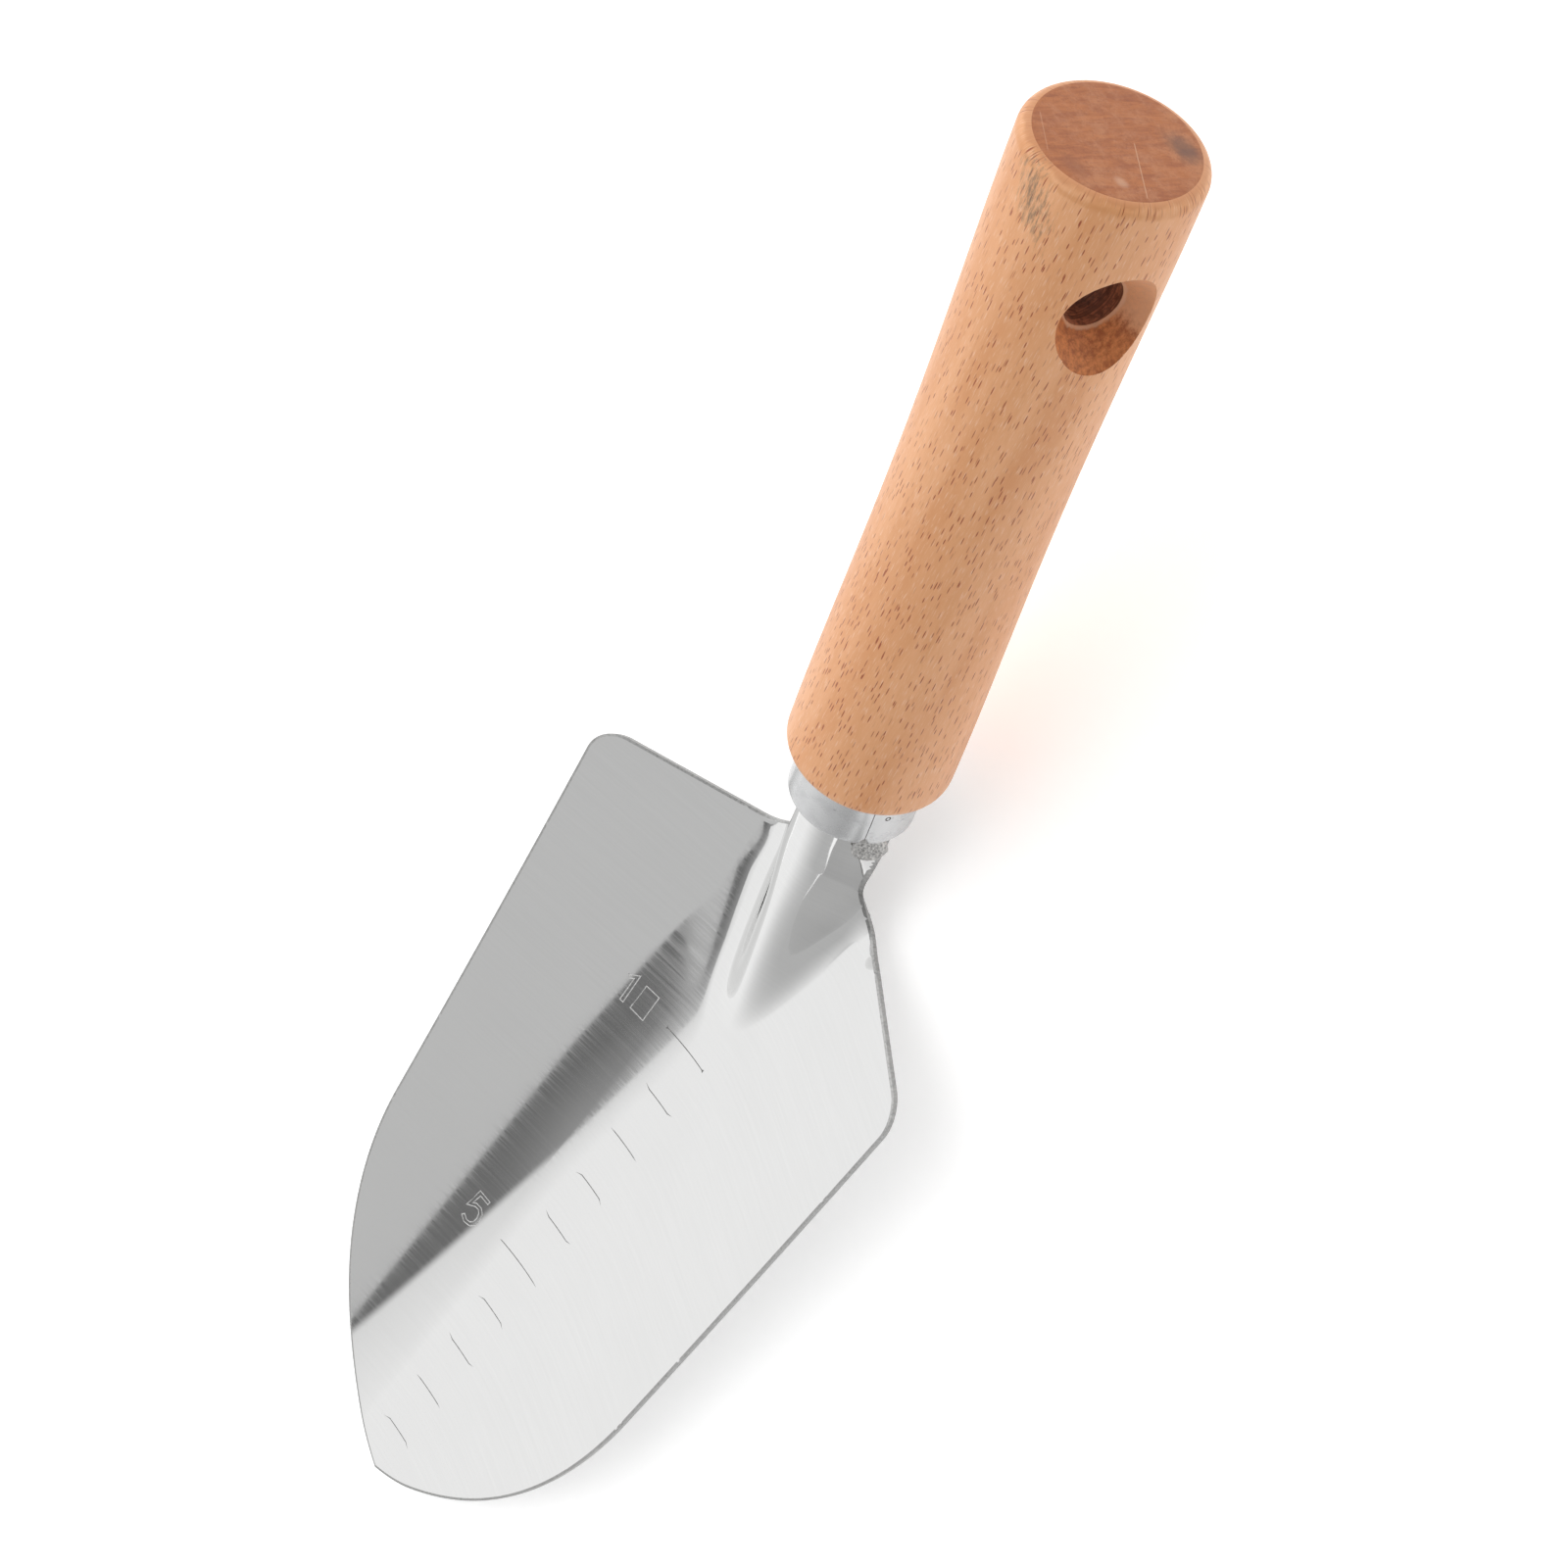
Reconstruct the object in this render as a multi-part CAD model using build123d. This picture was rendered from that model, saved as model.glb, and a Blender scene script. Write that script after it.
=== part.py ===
"""Hand trowel: a pressed stainless-steel blade on a turned beech handle.

Blade frame while modelling: the point is the origin, +Y runs to the handle along the
blade's valley, +Z is the hollow (soil) side, +X is the right wing.  The handle and what is
on it are modelled with Y along the handle's axis from the ferrule's open rim, and then
carried to the crank.  At the end the whole trowel is moved so that z = 0 is under the blade
and the origin is in the middle of its length and width.
"""
from build123d import *
from math import ceil, cos, exp, log, radians, sin, tan
import os

# ---------------------------------------------------------------- driving dimensions, mm
SHEET = 1.1                     # thickness of the blade's steel sheet

# Blade outline, seen from above
NOSE_SLOPE = 18.6               # degrees between the edge at the point and the X axis
NOSE_R = 26.6                   # small arc beside the point
NOSE_ARC = 20.3                 # degrees that it turns
CHEEK_R = 72.0                  # large arc of the front half
CHEEK_ARC = 46.6                # degrees that it turns
SIDE_LENGTH = 76.8              # straight side, to the shoulder's sharp corner
SHOULDER_SLOPE = 13.5           # degrees that the shoulder rises towards the neck
SHOULDER_R = 5.5                # rounding of the shoulder corner
THROAT_R = 9.5                  # rounding between shoulder and neck
NECK_HALF = 8.4                 # half the width of the neck

# Blade section: a round valley, a gentle bend beside it and flat wings
VALLEY_R_POINT = 47.0           # valley radius at the point
VALLEY_R_FALL = 0.166           # how much smaller it gets for each mm towards the handle
VALLEY_TILT = 9.2               # degrees that the valley's edge rises, at the point
WING_TILT = 15.05               # degrees that a wing rises, at the point
TILT_GAIN = 0.079               # degrees more for each mm towards the handle
WING_X = 20.0                   # distance from the middle where the flat wing begins

# Rib that stiffens the neck: a bell-shaped ridge whose crest rises in a straight line
RIB_START = 108.6               # Y where the crest's line leaves the valley
RIB_SLOPE = 0.45                # rise of the crest for each mm
RIB_SOFTNESS = 0.8              # roundness of the crest's foot
RIB_ROOT = 105.0                # Y from which the ridge widens
RIB_HALF = 2.4                  # half its width at half its height, at the root
RIB_GAIN = 0.118                # how much wider for each mm
RIB_HALF_MAX = 7.1              # the widest, at the neck
RIB_POWER = 2.2                 # section exponent of the open rib: a soft ridge
NECK_POWER = 2.8                # section exponent of the neck: a rounder crown
CROWN_START = 128.0             # Y where the section begins to turn into the neck's
CROWN_END = 146.0               # Y where it is the full neck
BASE_START = 138.0              # Y where the ridge's base leaves the blade
BASE_SOFTNESS = 0.4
SKIRT_START = 137.0             # Y where the neck begins to lose the valley's shape
SKIRT_END = 150.0
SKIRT_DROP = 0.4                # by which the neck's edges hang lower
FOOT_SPREAD = 2.0               # reach of the rib's own skin, in half widths of the ridge
FOOT_TUCK = 0.6                 # share of the sheet by which that skin dips under the wings
TUCK_POWER = 8.0                # how close to its edge it dips

# Stamped scale
MARK_FIRST = 8.5                # first mark, from the point
MARK_STEP = 10.0                # one centimetre
MARK_COUNT = 10
MARK_LONG_EVERY = 5
MARK_RIGHT = 1.85               # right end of every mark
MARK_LEFT = -3.25               # left end of a short mark
MARK_LEFT_LONG = -7.0           # left end of the fifth and tenth marks
MARK_WIDTH = 0.3
MARK_DEPTH = 0.12
MARK_PIECE = 2.6                # longest straight piece of a mark
MARK_OVERLAP = 0.05             # by which its pieces run into each other
FIVE_X = -13.8                  # middle of the numeral 5
FIVE_Y = 49.0
TEN_X = -13.7                   # middle of the numeral 10
TEN_Y = 98.8
DIGIT_HEIGHT = 5.2
DIGIT_WIDTH = 2.5
DIGIT_STROKE = 0.7              # breadth of a numeral's stroke, drawn as an outline
DIGIT_LINE = 0.22               # breadth of that outline
FIVE_FLAG_X = -1.0              # left end of the 5's flag, from the numeral's middle
FIVE_WAIST = 0.1                # height where its stem meets its bowl
ONE_X = -1.7                    # the 1's stem, from the middle of the 10
ONE_FLAG = 1.1                  # how far its flag reaches out
ZERO_X = 1.55                   # the 0's middle

# Handle: crank and place of the ferrule's open rim
CRANK = 23.0                    # degrees between the handle's axis and the blade's valley
RIM_Y = 156.9
RIM_Z = 13.2

# Ferrule
FERRULE_R = 9.7
FERRULE_WALL = 0.8
FERRULE_LENGTH = 8.2
FERRULE_LIP_R = 0.5             # rounding of the open rim
SEAM_ANGLE = 25.0               # degrees up from the right side to the butt seam
SEAM_GAP = 0.12
NICK_WIDTH = 0.45               # notch where the seam meets the rim
NICK_LENGTH = 0.8

# Pin through the ferrule
PIN_ANGLE = 11.0                # degrees up from the right side
PIN_S = 5.6                     # along the handle's axis
PIN_R = 0.5
PIN_TIP = 4.2                   # distance of the pin's point from the handle's axis

# Wooden handle, radii along its axis
HANDLE_END = 125.2
SPIGOT_START = 3.3              # the wood that fills the ferrule begins here
WOOD_FRONT_R = 12.6
WOOD_NECK_R = 12.4
WOOD_WAIST_R = 12.04
WOOD_PALM_R = 12.48
WOOD_BUTT_R = 12.9
WOOD_NECK_S = 35.0
WOOD_WAIST_S = 66.0
WOOD_PALM_S = 98.0
BUTT_ROUND = 1.9

# Hang hole, across the handle
HANG_S = 104.9
HANG_TURN = 10.5                # degrees that its right mouth is turned up
HANG_R = 4.1
HANG_BORE_HALF = 7.2            # the cylindrical part ends here, each side of the axis
HANG_FLARE = 0.80               # growth of the countersink's radius for each mm outwards

# Tang: a round bar with a joggle, welded under the neck's crown
TANG_R = 3.0
TANG_DEPTH = 62.0               # how far it reaches into the wood
TANG_JOGGLE_START = 0.2         # the joggle's two bends, along the handle's axis
TANG_JOGGLE_END = -8.8
TANG_FOOT_S = -24.0             # its end under the rib
TANG_FOOT_H = 2.9               # height of its middle there, above the handle's axis
TANG_BEND_R = 10.0
TANG_HOLE_SPARE = 1.0           # by which the hole in the wood is longer, at each end

# Welds, in the handle's frame
WELD_X = 2.9                    # beads beside the tang
WELD_S = -16.0
WELD_H = 4.8
WELD_R = 1.2
WELD_LENGTH = 12.0
TACK_X = 7.9                    # tacks on the neck's walls, against the ferrule's rim
TACK_S = -2.3
TACK_H = 1.0
TACK_TILT = 26.0                # degrees that the walls lean inwards
TACK_R = 2.4
TACK_TOP_R = 1.8
TACK_HEIGHT = 1.0

# Blank that the blade is cut from
BLANK_STATIONS = (-4.0, 70.0, 138.8)
BLANK_HALF = 44.0
OUTLINE_REACH = 120.0           # half height of the outline's prism
NECK_END = 3.0                  # how far the neck reaches into the ferrule
NECK_OUTLINE_END = 168.0
NECK_CUT = 200.0                # side of the block that trims the neck's end
RIB_STATIONS = (109.0, 114.0, 119.0, 124.0, 129.0, 134.0, 138.0, 142.0, 146.0, 151.0, 158.0, 166.0)
RIB_STEPS = (-1.0, -0.88, -0.75, -0.6, -0.45, -0.3, -0.15, 0.0, 0.15, 0.3, 0.45, 0.6, 0.75, 0.88, 1.0)
RIB_WALL = 1.2                  # by which the hollow under the rib is narrower than its skin
RIB_EDGE = 0.2                  # depth of the rib's edge, as a share of the sheet
HOLLOW_FLOOR = -14.0            # Z that the hollow under the rib is cut down to

HANDLE_FRAME = Pos(0, RIM_Y, RIM_Z) * Rot(CRANK, 0, 0)


# ---------------------------------------------------------------- the pressed surface
def smooth_step(value, start, end):
    """0 before start, 1 after end, and an S-curve between."""
    t = min(max((value - start) / (end - start), 0.0), 1.0)
    return t * t * (3.0 - 2.0 * t)


def ramp(value, softness):
    """Zero well below 0 and the value itself well above 0, with a rounded foot."""
    return max(value, 0.0) + softness * log(1.0 + exp(-abs(value) / softness))


def valley_edge(y):
    """Radius of the valley, the tilt at its edge and the distance of that edge."""
    radius = VALLEY_R_POINT - VALLEY_R_FALL * y
    tilt = radians(VALLEY_TILT + TILT_GAIN * y)
    return radius, tilt, radius * sin(tilt)


def section_slope(x, y):
    """Slope of the section at a distance from the middle."""
    radius, tilt, edge = valley_edge(y)
    if x < edge:
        return x / (radius * radius - x * x) ** 0.5
    share = min((x - edge) / (WING_X - edge), 1.0)
    return tan(tilt) + (tan(radians(WING_TILT + TILT_GAIN * y)) - tan(tilt)) * share


def valley_height(x, y):
    """Height of the upper face, without the rib."""
    radius, _, edge = valley_edge(y)
    inner = min(abs(x), edge)
    bend = min(abs(x), WING_X) - inner
    height = radius - (radius * radius - inner * inner) ** 0.5
    height += bend * (section_slope(edge, y) + section_slope(inner + bend, y)) / 2.0
    return height + max(abs(x) - WING_X, 0.0) * section_slope(WING_X, y)


def ridge_half(y):
    """Half the width of the ridge at half its height."""
    return min(RIB_HALF + RIB_GAIN * max(y - RIB_ROOT, 0.0), RIB_HALF_MAX)


def pressed_height(x, y):
    """Height of the upper face where the rib rises out of the valley and turns into the neck."""
    neck = smooth_step(y, SKIRT_START, SKIRT_END)
    crest = ramp(RIB_SLOPE * (y - RIB_START), RIB_SOFTNESS)
    base = ramp(RIB_SLOPE * (y - BASE_START), BASE_SOFTNESS) - SKIRT_DROP * neck
    power = RIB_POWER + (NECK_POWER - RIB_POWER) * smooth_step(y, CROWN_START, CROWN_END)
    ridge = 0.5 ** ((abs(x) / ridge_half(y)) ** power)
    return valley_height(x, y) * (1.0 - neck) + base + (crest - base) * ridge


def rib_point(share, y, depth):
    """A point at a depth under the rib's skin, at a share of the skin's half width."""
    x = FOOT_SPREAD * ridge_half(y) * share
    step = 0.01
    slope = (pressed_height(x + step, y) - pressed_height(x - step, y)) / (2.0 * step)
    return Vector(x, y, pressed_height(x, y)) - Vector(-slope, 0, 1).normalized() * depth


# ---------------------------------------------------------------- the blade
def sheet_point(x, y, depth):
    """A point of the section, at a depth below the upper face and square to it."""
    side = -1.0 if x < 0.0 else 1.0
    slope = side * section_slope(abs(x), y)
    normal = Vector(-slope, 0, 1).normalized()
    return Vector(x, y, valley_height(x, y)) - normal * depth


def sheet_face(y, depth):
    """The edges of one face of the sheet at one Y, from left to right."""
    edge = valley_edge(y)[2]
    bend = (edge + WING_X) / 2.0
    places = (-BLANK_HALF, -WING_X, -bend, -edge, 0.0, edge, bend, WING_X, BLANK_HALF)
    points = [sheet_point(x, y, depth) for x in places]
    arcs = [ThreePointArc(*points[first:first + 3]) for first in (1, 3, 5)]
    return [Line(*points[:2])] + arcs + [Line(*points[-2:])]


def sheet_section(y):
    """Section of the sheet at one Y, before its outline is cut."""
    upper = sheet_face(y, 0.0)
    lower = sheet_face(y, SHEET)
    ends = [Line(upper[0] @ 0, lower[0] @ 0), Line(upper[-1] @ 1, lower[-1] @ 1)]
    return Face(Wire(upper + lower + ends))


def closed_section(crown, floor):
    """The area between a curve and a level floor under it."""
    right = Vector(crown[-1].X, crown[-1].Y, floor)
    left = Vector(crown[0].X, crown[0].Y, floor)
    sides = [Line(crown[-1], right), Line(right, left), Line(left, crown[0])]
    return Face(Wire([Spline(*crown)] + sides))


def rib_outer(y):
    """Section of the rib and neck, its skin dipping under the wings at both edges."""
    crown = []
    for share in RIB_STEPS:
        tuck = FOOT_TUCK * SHEET * abs(share) ** TUCK_POWER
        crown.append(rib_point(share, y, 0.0) - Vector(0, 0, tuck))
    return closed_section(crown, crown[0].Z - RIB_EDGE * SHEET)


def rib_hollow(y):
    """Section of the room under the rib and neck."""
    narrow = 1.0 - RIB_WALL / (FOOT_SPREAD * ridge_half(y))
    crown = [rib_point(share * narrow, y, SHEET) for share in RIB_STEPS]
    return closed_section(crown, HOLLOW_FLOOR)


def half_outline():
    """Right half of the blade's outline, with the neck running on past its end."""
    nose = JernArc((0, 0), (cos(radians(NOSE_SLOPE)), sin(radians(NOSE_SLOPE))), NOSE_R, NOSE_ARC)
    cheek = JernArc(nose @ 1, nose % 1, CHEEK_R, CHEEK_ARC)
    corner = cheek @ 1 + (cheek % 1) * SIDE_LENGTH
    rise = (corner.X - NECK_HALF) * tan(radians(SHOULDER_SLOPE))
    throat = Vector(NECK_HALF, corner.Y + rise)
    side = Line(cheek @ 1, corner)
    shoulder = Line(corner, throat)
    neck = Line(throat, (NECK_HALF, NECK_OUTLINE_END))
    end = Line(neck @ 1, (0, NECK_OUTLINE_END))
    spine = Line(end @ 1, (0, 0))
    face = Face(Wire([nose, cheek, side, shoulder, neck, end, spine]))
    face = face.fillet_2d(SHOULDER_R, face.vertices().sort_by_distance(corner)[:1])
    return face.fillet_2d(THROAT_R, face.vertices().sort_by_distance(throat)[:1])


def outline_prism():
    """Everything above and below the blade's outline."""
    half = half_outline()
    prism = extrude(half, amount=OUTLINE_REACH, dir=(0, 0, 1), both=True)
    return prism + mirror(prism, about=Plane.YZ)


def tangent_plane(x, y):
    """Plane that touches the blade's upper face, its X axis across the blade."""
    step = 0.01
    here = Vector(x, y, valley_height(x, y))
    across = Vector(x + step, y, valley_height(x + step, y)) - here
    along = Vector(x, y + step, valley_height(x, y + step)) - here
    return Plane(origin=here, x_dir=across, z_dir=across.cross(along))


def mark_cutters():
    """The centimetre marks, each a chain of short boxes that follows the valley."""
    cutters = []
    for number in range(1, MARK_COUNT + 1):
        left = MARK_LEFT if number % MARK_LONG_EVERY else MARK_LEFT_LONG
        pieces = ceil((MARK_RIGHT - left) / MARK_PIECE)
        length = (MARK_RIGHT - left) / pieces
        for piece in range(pieces):
            middle = left + length * (piece + 0.5)
            place = tangent_plane(middle, MARK_FIRST + MARK_STEP * (number - 1))
            cutters.append(place * Box(length + MARK_OVERLAP, MARK_WIDTH, 2.0 * MARK_DEPTH))
    return cutters


def stroke_outline(path):
    """The two thin lines along a stroke of a numeral."""
    return trace(path, DIGIT_STROKE + DIGIT_LINE) - trace(path, DIGIT_STROKE - DIGIT_LINE)


def numeral_five():
    """The figure 5 as an outlined stroke, its middle at the origin."""
    half = DIGIT_HEIGHT / 2.0
    right = DIGIT_WIDTH / 2.0
    flag = Polyline((right, half), (FIVE_FLAG_X, half), (FIVE_FLAG_X - 0.1, FIVE_WAIST))
    bowl_points = [(0, 0.27 * half), (right, -0.23 * half), (0.2, -half), (-1.2 * right, -0.77 * half)]
    bowl = Spline(flag @ 1, *bowl_points)
    return stroke_outline(flag + bowl)


def numeral_ten():
    """The figure 10: an outlined 1 and a square-cornered 0 drawn with one line."""
    half = DIGIT_HEIGHT / 2.0
    one = Polyline((ONE_X - ONE_FLAG, 0.7 * half), (ONE_X, half), (ONE_X, -half))
    ring = Rectangle(DIGIT_WIDTH + MARK_WIDTH, DIGIT_HEIGHT + MARK_WIDTH)
    ring -= Rectangle(DIGIT_WIDTH - MARK_WIDTH, DIGIT_HEIGHT - MARK_WIDTH)
    return stroke_outline(one) + Pos(ZERO_X, 0) * ring


def numeral_cutters():
    """Both numerals, sunk into the left wing."""
    five = tangent_plane(FIVE_X, FIVE_Y) * Pos(0, 0, -MARK_DEPTH) * numeral_five()
    ten = tangent_plane(TEN_X, TEN_Y) * Pos(0, 0, -MARK_DEPTH) * numeral_ten()
    return [extrude(face, amount=4.0 * MARK_DEPTH) for face in five.faces() + ten.faces()]


def collar_room():
    """The room of the ferrule's wall and what is outside it, along the end of the neck."""
    depth = NECK_END + 1.0
    ring = Cylinder(2.0 * FERRULE_R, depth) - Cylinder(FERRULE_R - FERRULE_WALL, depth)
    return HANDLE_FRAME * Pos(0, depth / 2.0, 0) * Rot(90, 0, 0) * ring


def blade():
    """The pressed sheet with its rib, neck and scale."""
    sheet = loft([sheet_section(y) for y in BLANK_STATIONS])
    outer = loft([rib_outer(y) for y in RIB_STATIONS], ruled=True)
    hollow = loft([rib_hollow(y) for y in RIB_STATIONS], ruled=True)
    pressed = (sheet + outer - hollow) & outline_prism()
    reach = HANDLE_FRAME * Pos(0, NECK_END - NECK_CUT / 2.0, 0) * Box(NECK_CUT, NECK_CUT, NECK_CUT)
    return (pressed & reach) - collar_room() - (mark_cutters() + numeral_cutters())


# ---------------------------------------------------------------- ferrule, pin and tang
def around(angle, radius, along):
    """A place on the handle, angle degrees up from the right side, X pointing outwards."""
    return Rot(0, -angle, 0) * Pos(radius, along, 0)


def turned(profile):
    """A body of revolution about the handle's axis, from points (radius, along)."""
    return revolve(profile, Axis.Y, 360)


def ferrule():
    """Rolled steel collar with a butt seam and a hole for its pin."""
    middle = FERRULE_R - FERRULE_WALL / 2.0
    wall = Pos(middle, FERRULE_LENGTH / 2.0) * Rectangle(FERRULE_WALL, FERRULE_LENGTH)
    lip = wall.vertices().sort_by_distance((FERRULE_R, 0, 0))[:1]
    ring = turned(fillet(lip, FERRULE_LIP_R))
    through = 3.0 * FERRULE_WALL
    seam_place = around(SEAM_ANGLE, middle, FERRULE_LENGTH / 2.0)
    seam = seam_place * Box(through, 2.0 * FERRULE_LENGTH, SEAM_GAP)
    nick = around(SEAM_ANGLE, middle, 0) * Box(through, 2.0 * NICK_LENGTH, NICK_WIDTH)
    hole = around(PIN_ANGLE, middle, PIN_S) * Rot(0, 90, 0) * Cylinder(PIN_R, through)
    return HANDLE_FRAME * (ring - seam - nick - hole)


def pin_body():
    """The pin, in the handle's own frame."""
    length = FERRULE_R - PIN_TIP
    place = around(PIN_ANGLE, PIN_TIP + length / 2.0, PIN_S) * Rot(0, 90, 0)
    return place * Cylinder(PIN_R, length)


def ferrule_pin():
    """Headless pin, flush with the ferrule, that keeps it on the wood."""
    return HANDLE_FRAME * pin_body()


def tang():
    """Round bar from under the neck's crown into the middle of the wood."""
    route = FilletPolyline(
        (0, TANG_DEPTH, 0),
        (0, TANG_JOGGLE_START, 0),
        (0, TANG_JOGGLE_END, TANG_FOOT_H),
        (0, TANG_FOOT_S, TANG_FOOT_H),
        radius=TANG_BEND_R,
    )
    section = Plane(origin=route @ 0, z_dir=route % 0) * Circle(TANG_R)
    return HANDLE_FRAME * sweep(section, route)


def largest(shape):
    """The biggest solid of a cut shape, without the crumbs."""
    return sorted(shape.solids(), key=lambda solid: solid.volume)[-1]


def tang_weld(sheet, bar):
    """Two weld beads along the tang, in the corners under the neck's crown."""
    beads = []
    for side in (-1, 1):
        place = HANDLE_FRAME * Pos(side * WELD_X, WELD_S, WELD_H) * Rot(90, 0, 0)
        beads.append(largest(place * Cylinder(WELD_R, WELD_LENGTH) - sheet - bar))
    return Compound(children=beads)


def neck_tacks(sheet, collar):
    """A tack weld on each side of the neck, against the ferrule's rim."""
    tacks = []
    for side in (-1, 1):
        lean = Rot(0, side * (90.0 - TACK_TILT), 0)
        place = HANDLE_FRAME * Pos(side * TACK_X, TACK_S, TACK_H) * lean
        tacks.append(largest(place * Cone(TACK_R, TACK_TOP_R, TACK_HEIGHT) - sheet - collar))
    return Compound(children=tacks)


# ---------------------------------------------------------------- the wooden handle
def wood_side():
    """The turned side of the wood, from its front quarter round to its butt's rounding."""
    return Spline(
        (WOOD_FRONT_R, FERRULE_LENGTH + WOOD_FRONT_R - FERRULE_R),
        (WOOD_NECK_R, WOOD_NECK_S),
        (WOOD_WAIST_R, WOOD_WAIST_S),
        (WOOD_PALM_R, WOOD_PALM_S),
        (WOOD_BUTT_R, HANDLE_END - BUTT_ROUND),
        tangents=[(0, 1), (0, 1)],
    )


def wood_profile():
    """Half section of the turned wood, X for the radius and Y along the axis."""
    bore = FERRULE_R - FERRULE_WALL
    foot = Polyline(
        (0, SPIGOT_START),
        (bore, SPIGOT_START),
        (bore, FERRULE_LENGTH),
        (FERRULE_R, FERRULE_LENGTH),
    )
    shoulder = JernArc(foot @ 1, (1, 0), WOOD_FRONT_R - FERRULE_R, 90)
    side = wood_side()
    butt = JernArc(side @ 1, (0, 1), BUTT_ROUND, 90)
    face_line = Line(butt @ 1, (0, HANDLE_END))
    axis_line = Line(face_line @ 1, (0, SPIGOT_START))
    rounds = foot.edges() + shoulder.edges() + side.edges() + butt.edges()
    return Face(Wire(rounds + [face_line, axis_line]))


def hang_hole_cutter():
    """Cross hole with a countersink at each end."""
    outer = WOOD_BUTT_R + 2.0
    wide = HANG_R + HANG_FLARE * (outer - HANG_BORE_HALF)
    right = [(wide, outer), (HANG_R, HANG_BORE_HALF)]
    left = [(radius, -along) for radius, along in reversed(right)]
    outline = Polyline((0, outer), *right, *left, (0, -outer), close=True)
    spool = revolve(Face(Wire(outline.edges())), Axis.Y, 360)
    return Pos(0, HANG_S, 0) * Rot(0, -HANG_TURN, 0) * Rot(0, 0, 90) * spool


def handle():
    """Turned wood with the hang hole, the tang's hole and the pin's hole."""
    wood = turned(wood_profile())
    wood -= hang_hole_cutter()
    depth = TANG_DEPTH - SPIGOT_START + 2.0 * TANG_HOLE_SPARE
    middle = (TANG_DEPTH + SPIGOT_START) / 2.0
    wood -= Pos(0, middle, 0) * Rot(90, 0, 0) * Cylinder(TANG_R, depth)
    wood -= pin_body()
    return HANDLE_FRAME * wood


# ---------------------------------------------------------------- the whole trowel
def trowel():
    """Every piece by name, in the blade frame."""
    sheet = blade()
    bar = tang()
    collar = ferrule()
    return {
        "blade": sheet,
        "tang": bar,
        "tang_weld": tang_weld(sheet, bar),
        "neck_tacks": neck_tacks(sheet, collar),
        "ferrule": collar,
        "ferrule_pin": ferrule_pin(),
        "handle": handle(),
    }


def main():
    """Move the trowel to its own origin and write one file for each piece."""
    pieces = trowel()
    box = pieces["blade"].bounding_box().add(pieces["handle"].bounding_box())
    home = Pos(-box.center().X, -box.center().Y, -box.min.Z)
    os.makedirs("parts", exist_ok=True)
    for name, piece in pieces.items():
        export_step(home * piece, f"parts/{name}.step")


main()
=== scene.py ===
"""Looks of the hand trowel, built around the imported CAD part.

Sizes are in millimetres in the trowel's own modelling frame: the blade's point is the origin, +Y runs
up the valley to the handle and +Z is the hollow side. `place` carries them to the part frame in metres.
"""

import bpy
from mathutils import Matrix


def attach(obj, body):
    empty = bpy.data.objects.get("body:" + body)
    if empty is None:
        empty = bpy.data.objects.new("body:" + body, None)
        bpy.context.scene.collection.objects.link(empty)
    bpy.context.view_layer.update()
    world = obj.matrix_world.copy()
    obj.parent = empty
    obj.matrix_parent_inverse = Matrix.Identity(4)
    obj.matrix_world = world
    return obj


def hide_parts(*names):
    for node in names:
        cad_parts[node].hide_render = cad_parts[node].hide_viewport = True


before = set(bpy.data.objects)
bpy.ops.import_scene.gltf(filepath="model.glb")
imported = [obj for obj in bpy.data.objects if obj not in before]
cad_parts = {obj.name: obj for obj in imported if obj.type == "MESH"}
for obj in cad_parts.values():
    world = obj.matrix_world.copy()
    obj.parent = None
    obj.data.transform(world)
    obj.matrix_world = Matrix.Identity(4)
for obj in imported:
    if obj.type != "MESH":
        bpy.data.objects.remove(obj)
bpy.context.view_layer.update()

import math

import bmesh
import bpy
import numpy as np
from mathutils import Matrix, Vector, kdtree, noise
from mathutils.geometry import delaunay_2d_cdt

MM = 0.001
ORIGIN = Vector((0.0, -138.298, 1.1))  # the blade's point in the part frame, mm

# ---- blade, mm
SHEET = 1.1
NOSE_SLOPE, NOSE_R, NOSE_ARC = 18.6, 26.6, 20.3
CHEEK_R, CHEEK_ARC = 72.0, 46.6
SIDE_LENGTH = 76.8
SHOULDER_SLOPE, SHOULDER_R = 13.5, 5.5
THROAT_R = 9.5
NOSE_PIECES, CHEEK_PIECES, CORNER_PIECES, THROAT_PIECES = 14, 80, 14, 12
RIM_SPACING = 0.8  # longest piece of the outline
NECK_HALF = 8.4
NECK_LOW, NECK_TOP = 150.0, 162.0  # Y between which the neck ends
VALLEY_R, VALLEY_FALL = 47.0, 0.166
VALLEY_TILT, WING_TILT, TILT_GAIN = 9.2, 15.05, 0.079
WING_X = 20.0  # distance from the middle where the flat wing begins
RIB_START, RIB_SLOPE, RIB_SOFTNESS = 108.6, 0.45, 0.8
RIB_HALF, RIB_GAIN, RIB_MAX, RIB_ROOT = 2.4, 0.118, 7.1, 105.0
RIB_POWER, NECK_POWER = 2.2, 2.8
CROWN_START, CROWN_END = 128.0, 146.0  # Y between which the rib's section turns into the neck's
LIFT_START, LIFT_SOFTNESS = 138.0, 0.4
LIFT_NEAR, LIFT_FAR = 9.5, 15.5
FLAT_START, FLAT_END, SKIRT_DROP = 137.0, 150.0, 0.4
CREASE_X, CREASE_STEEP, CREASE_SOFTNESS = 6.0, 0.5, 0.12
CREASE_START, CREASE_END = 143.0, 149.0
CREASE_Y, CREASE_LEAN = 154.0, 0.355  # in front of this the crease runs outwards

# ---- handle, mm
CRANK = math.radians(23.0)
RIM = Vector((0.0, 156.9, 13.2))
FERRULE_R, FERRULE_WALL, FERRULE_LENGTH = 9.7, 0.8, 8.2
NECK_END = 3.0


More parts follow.
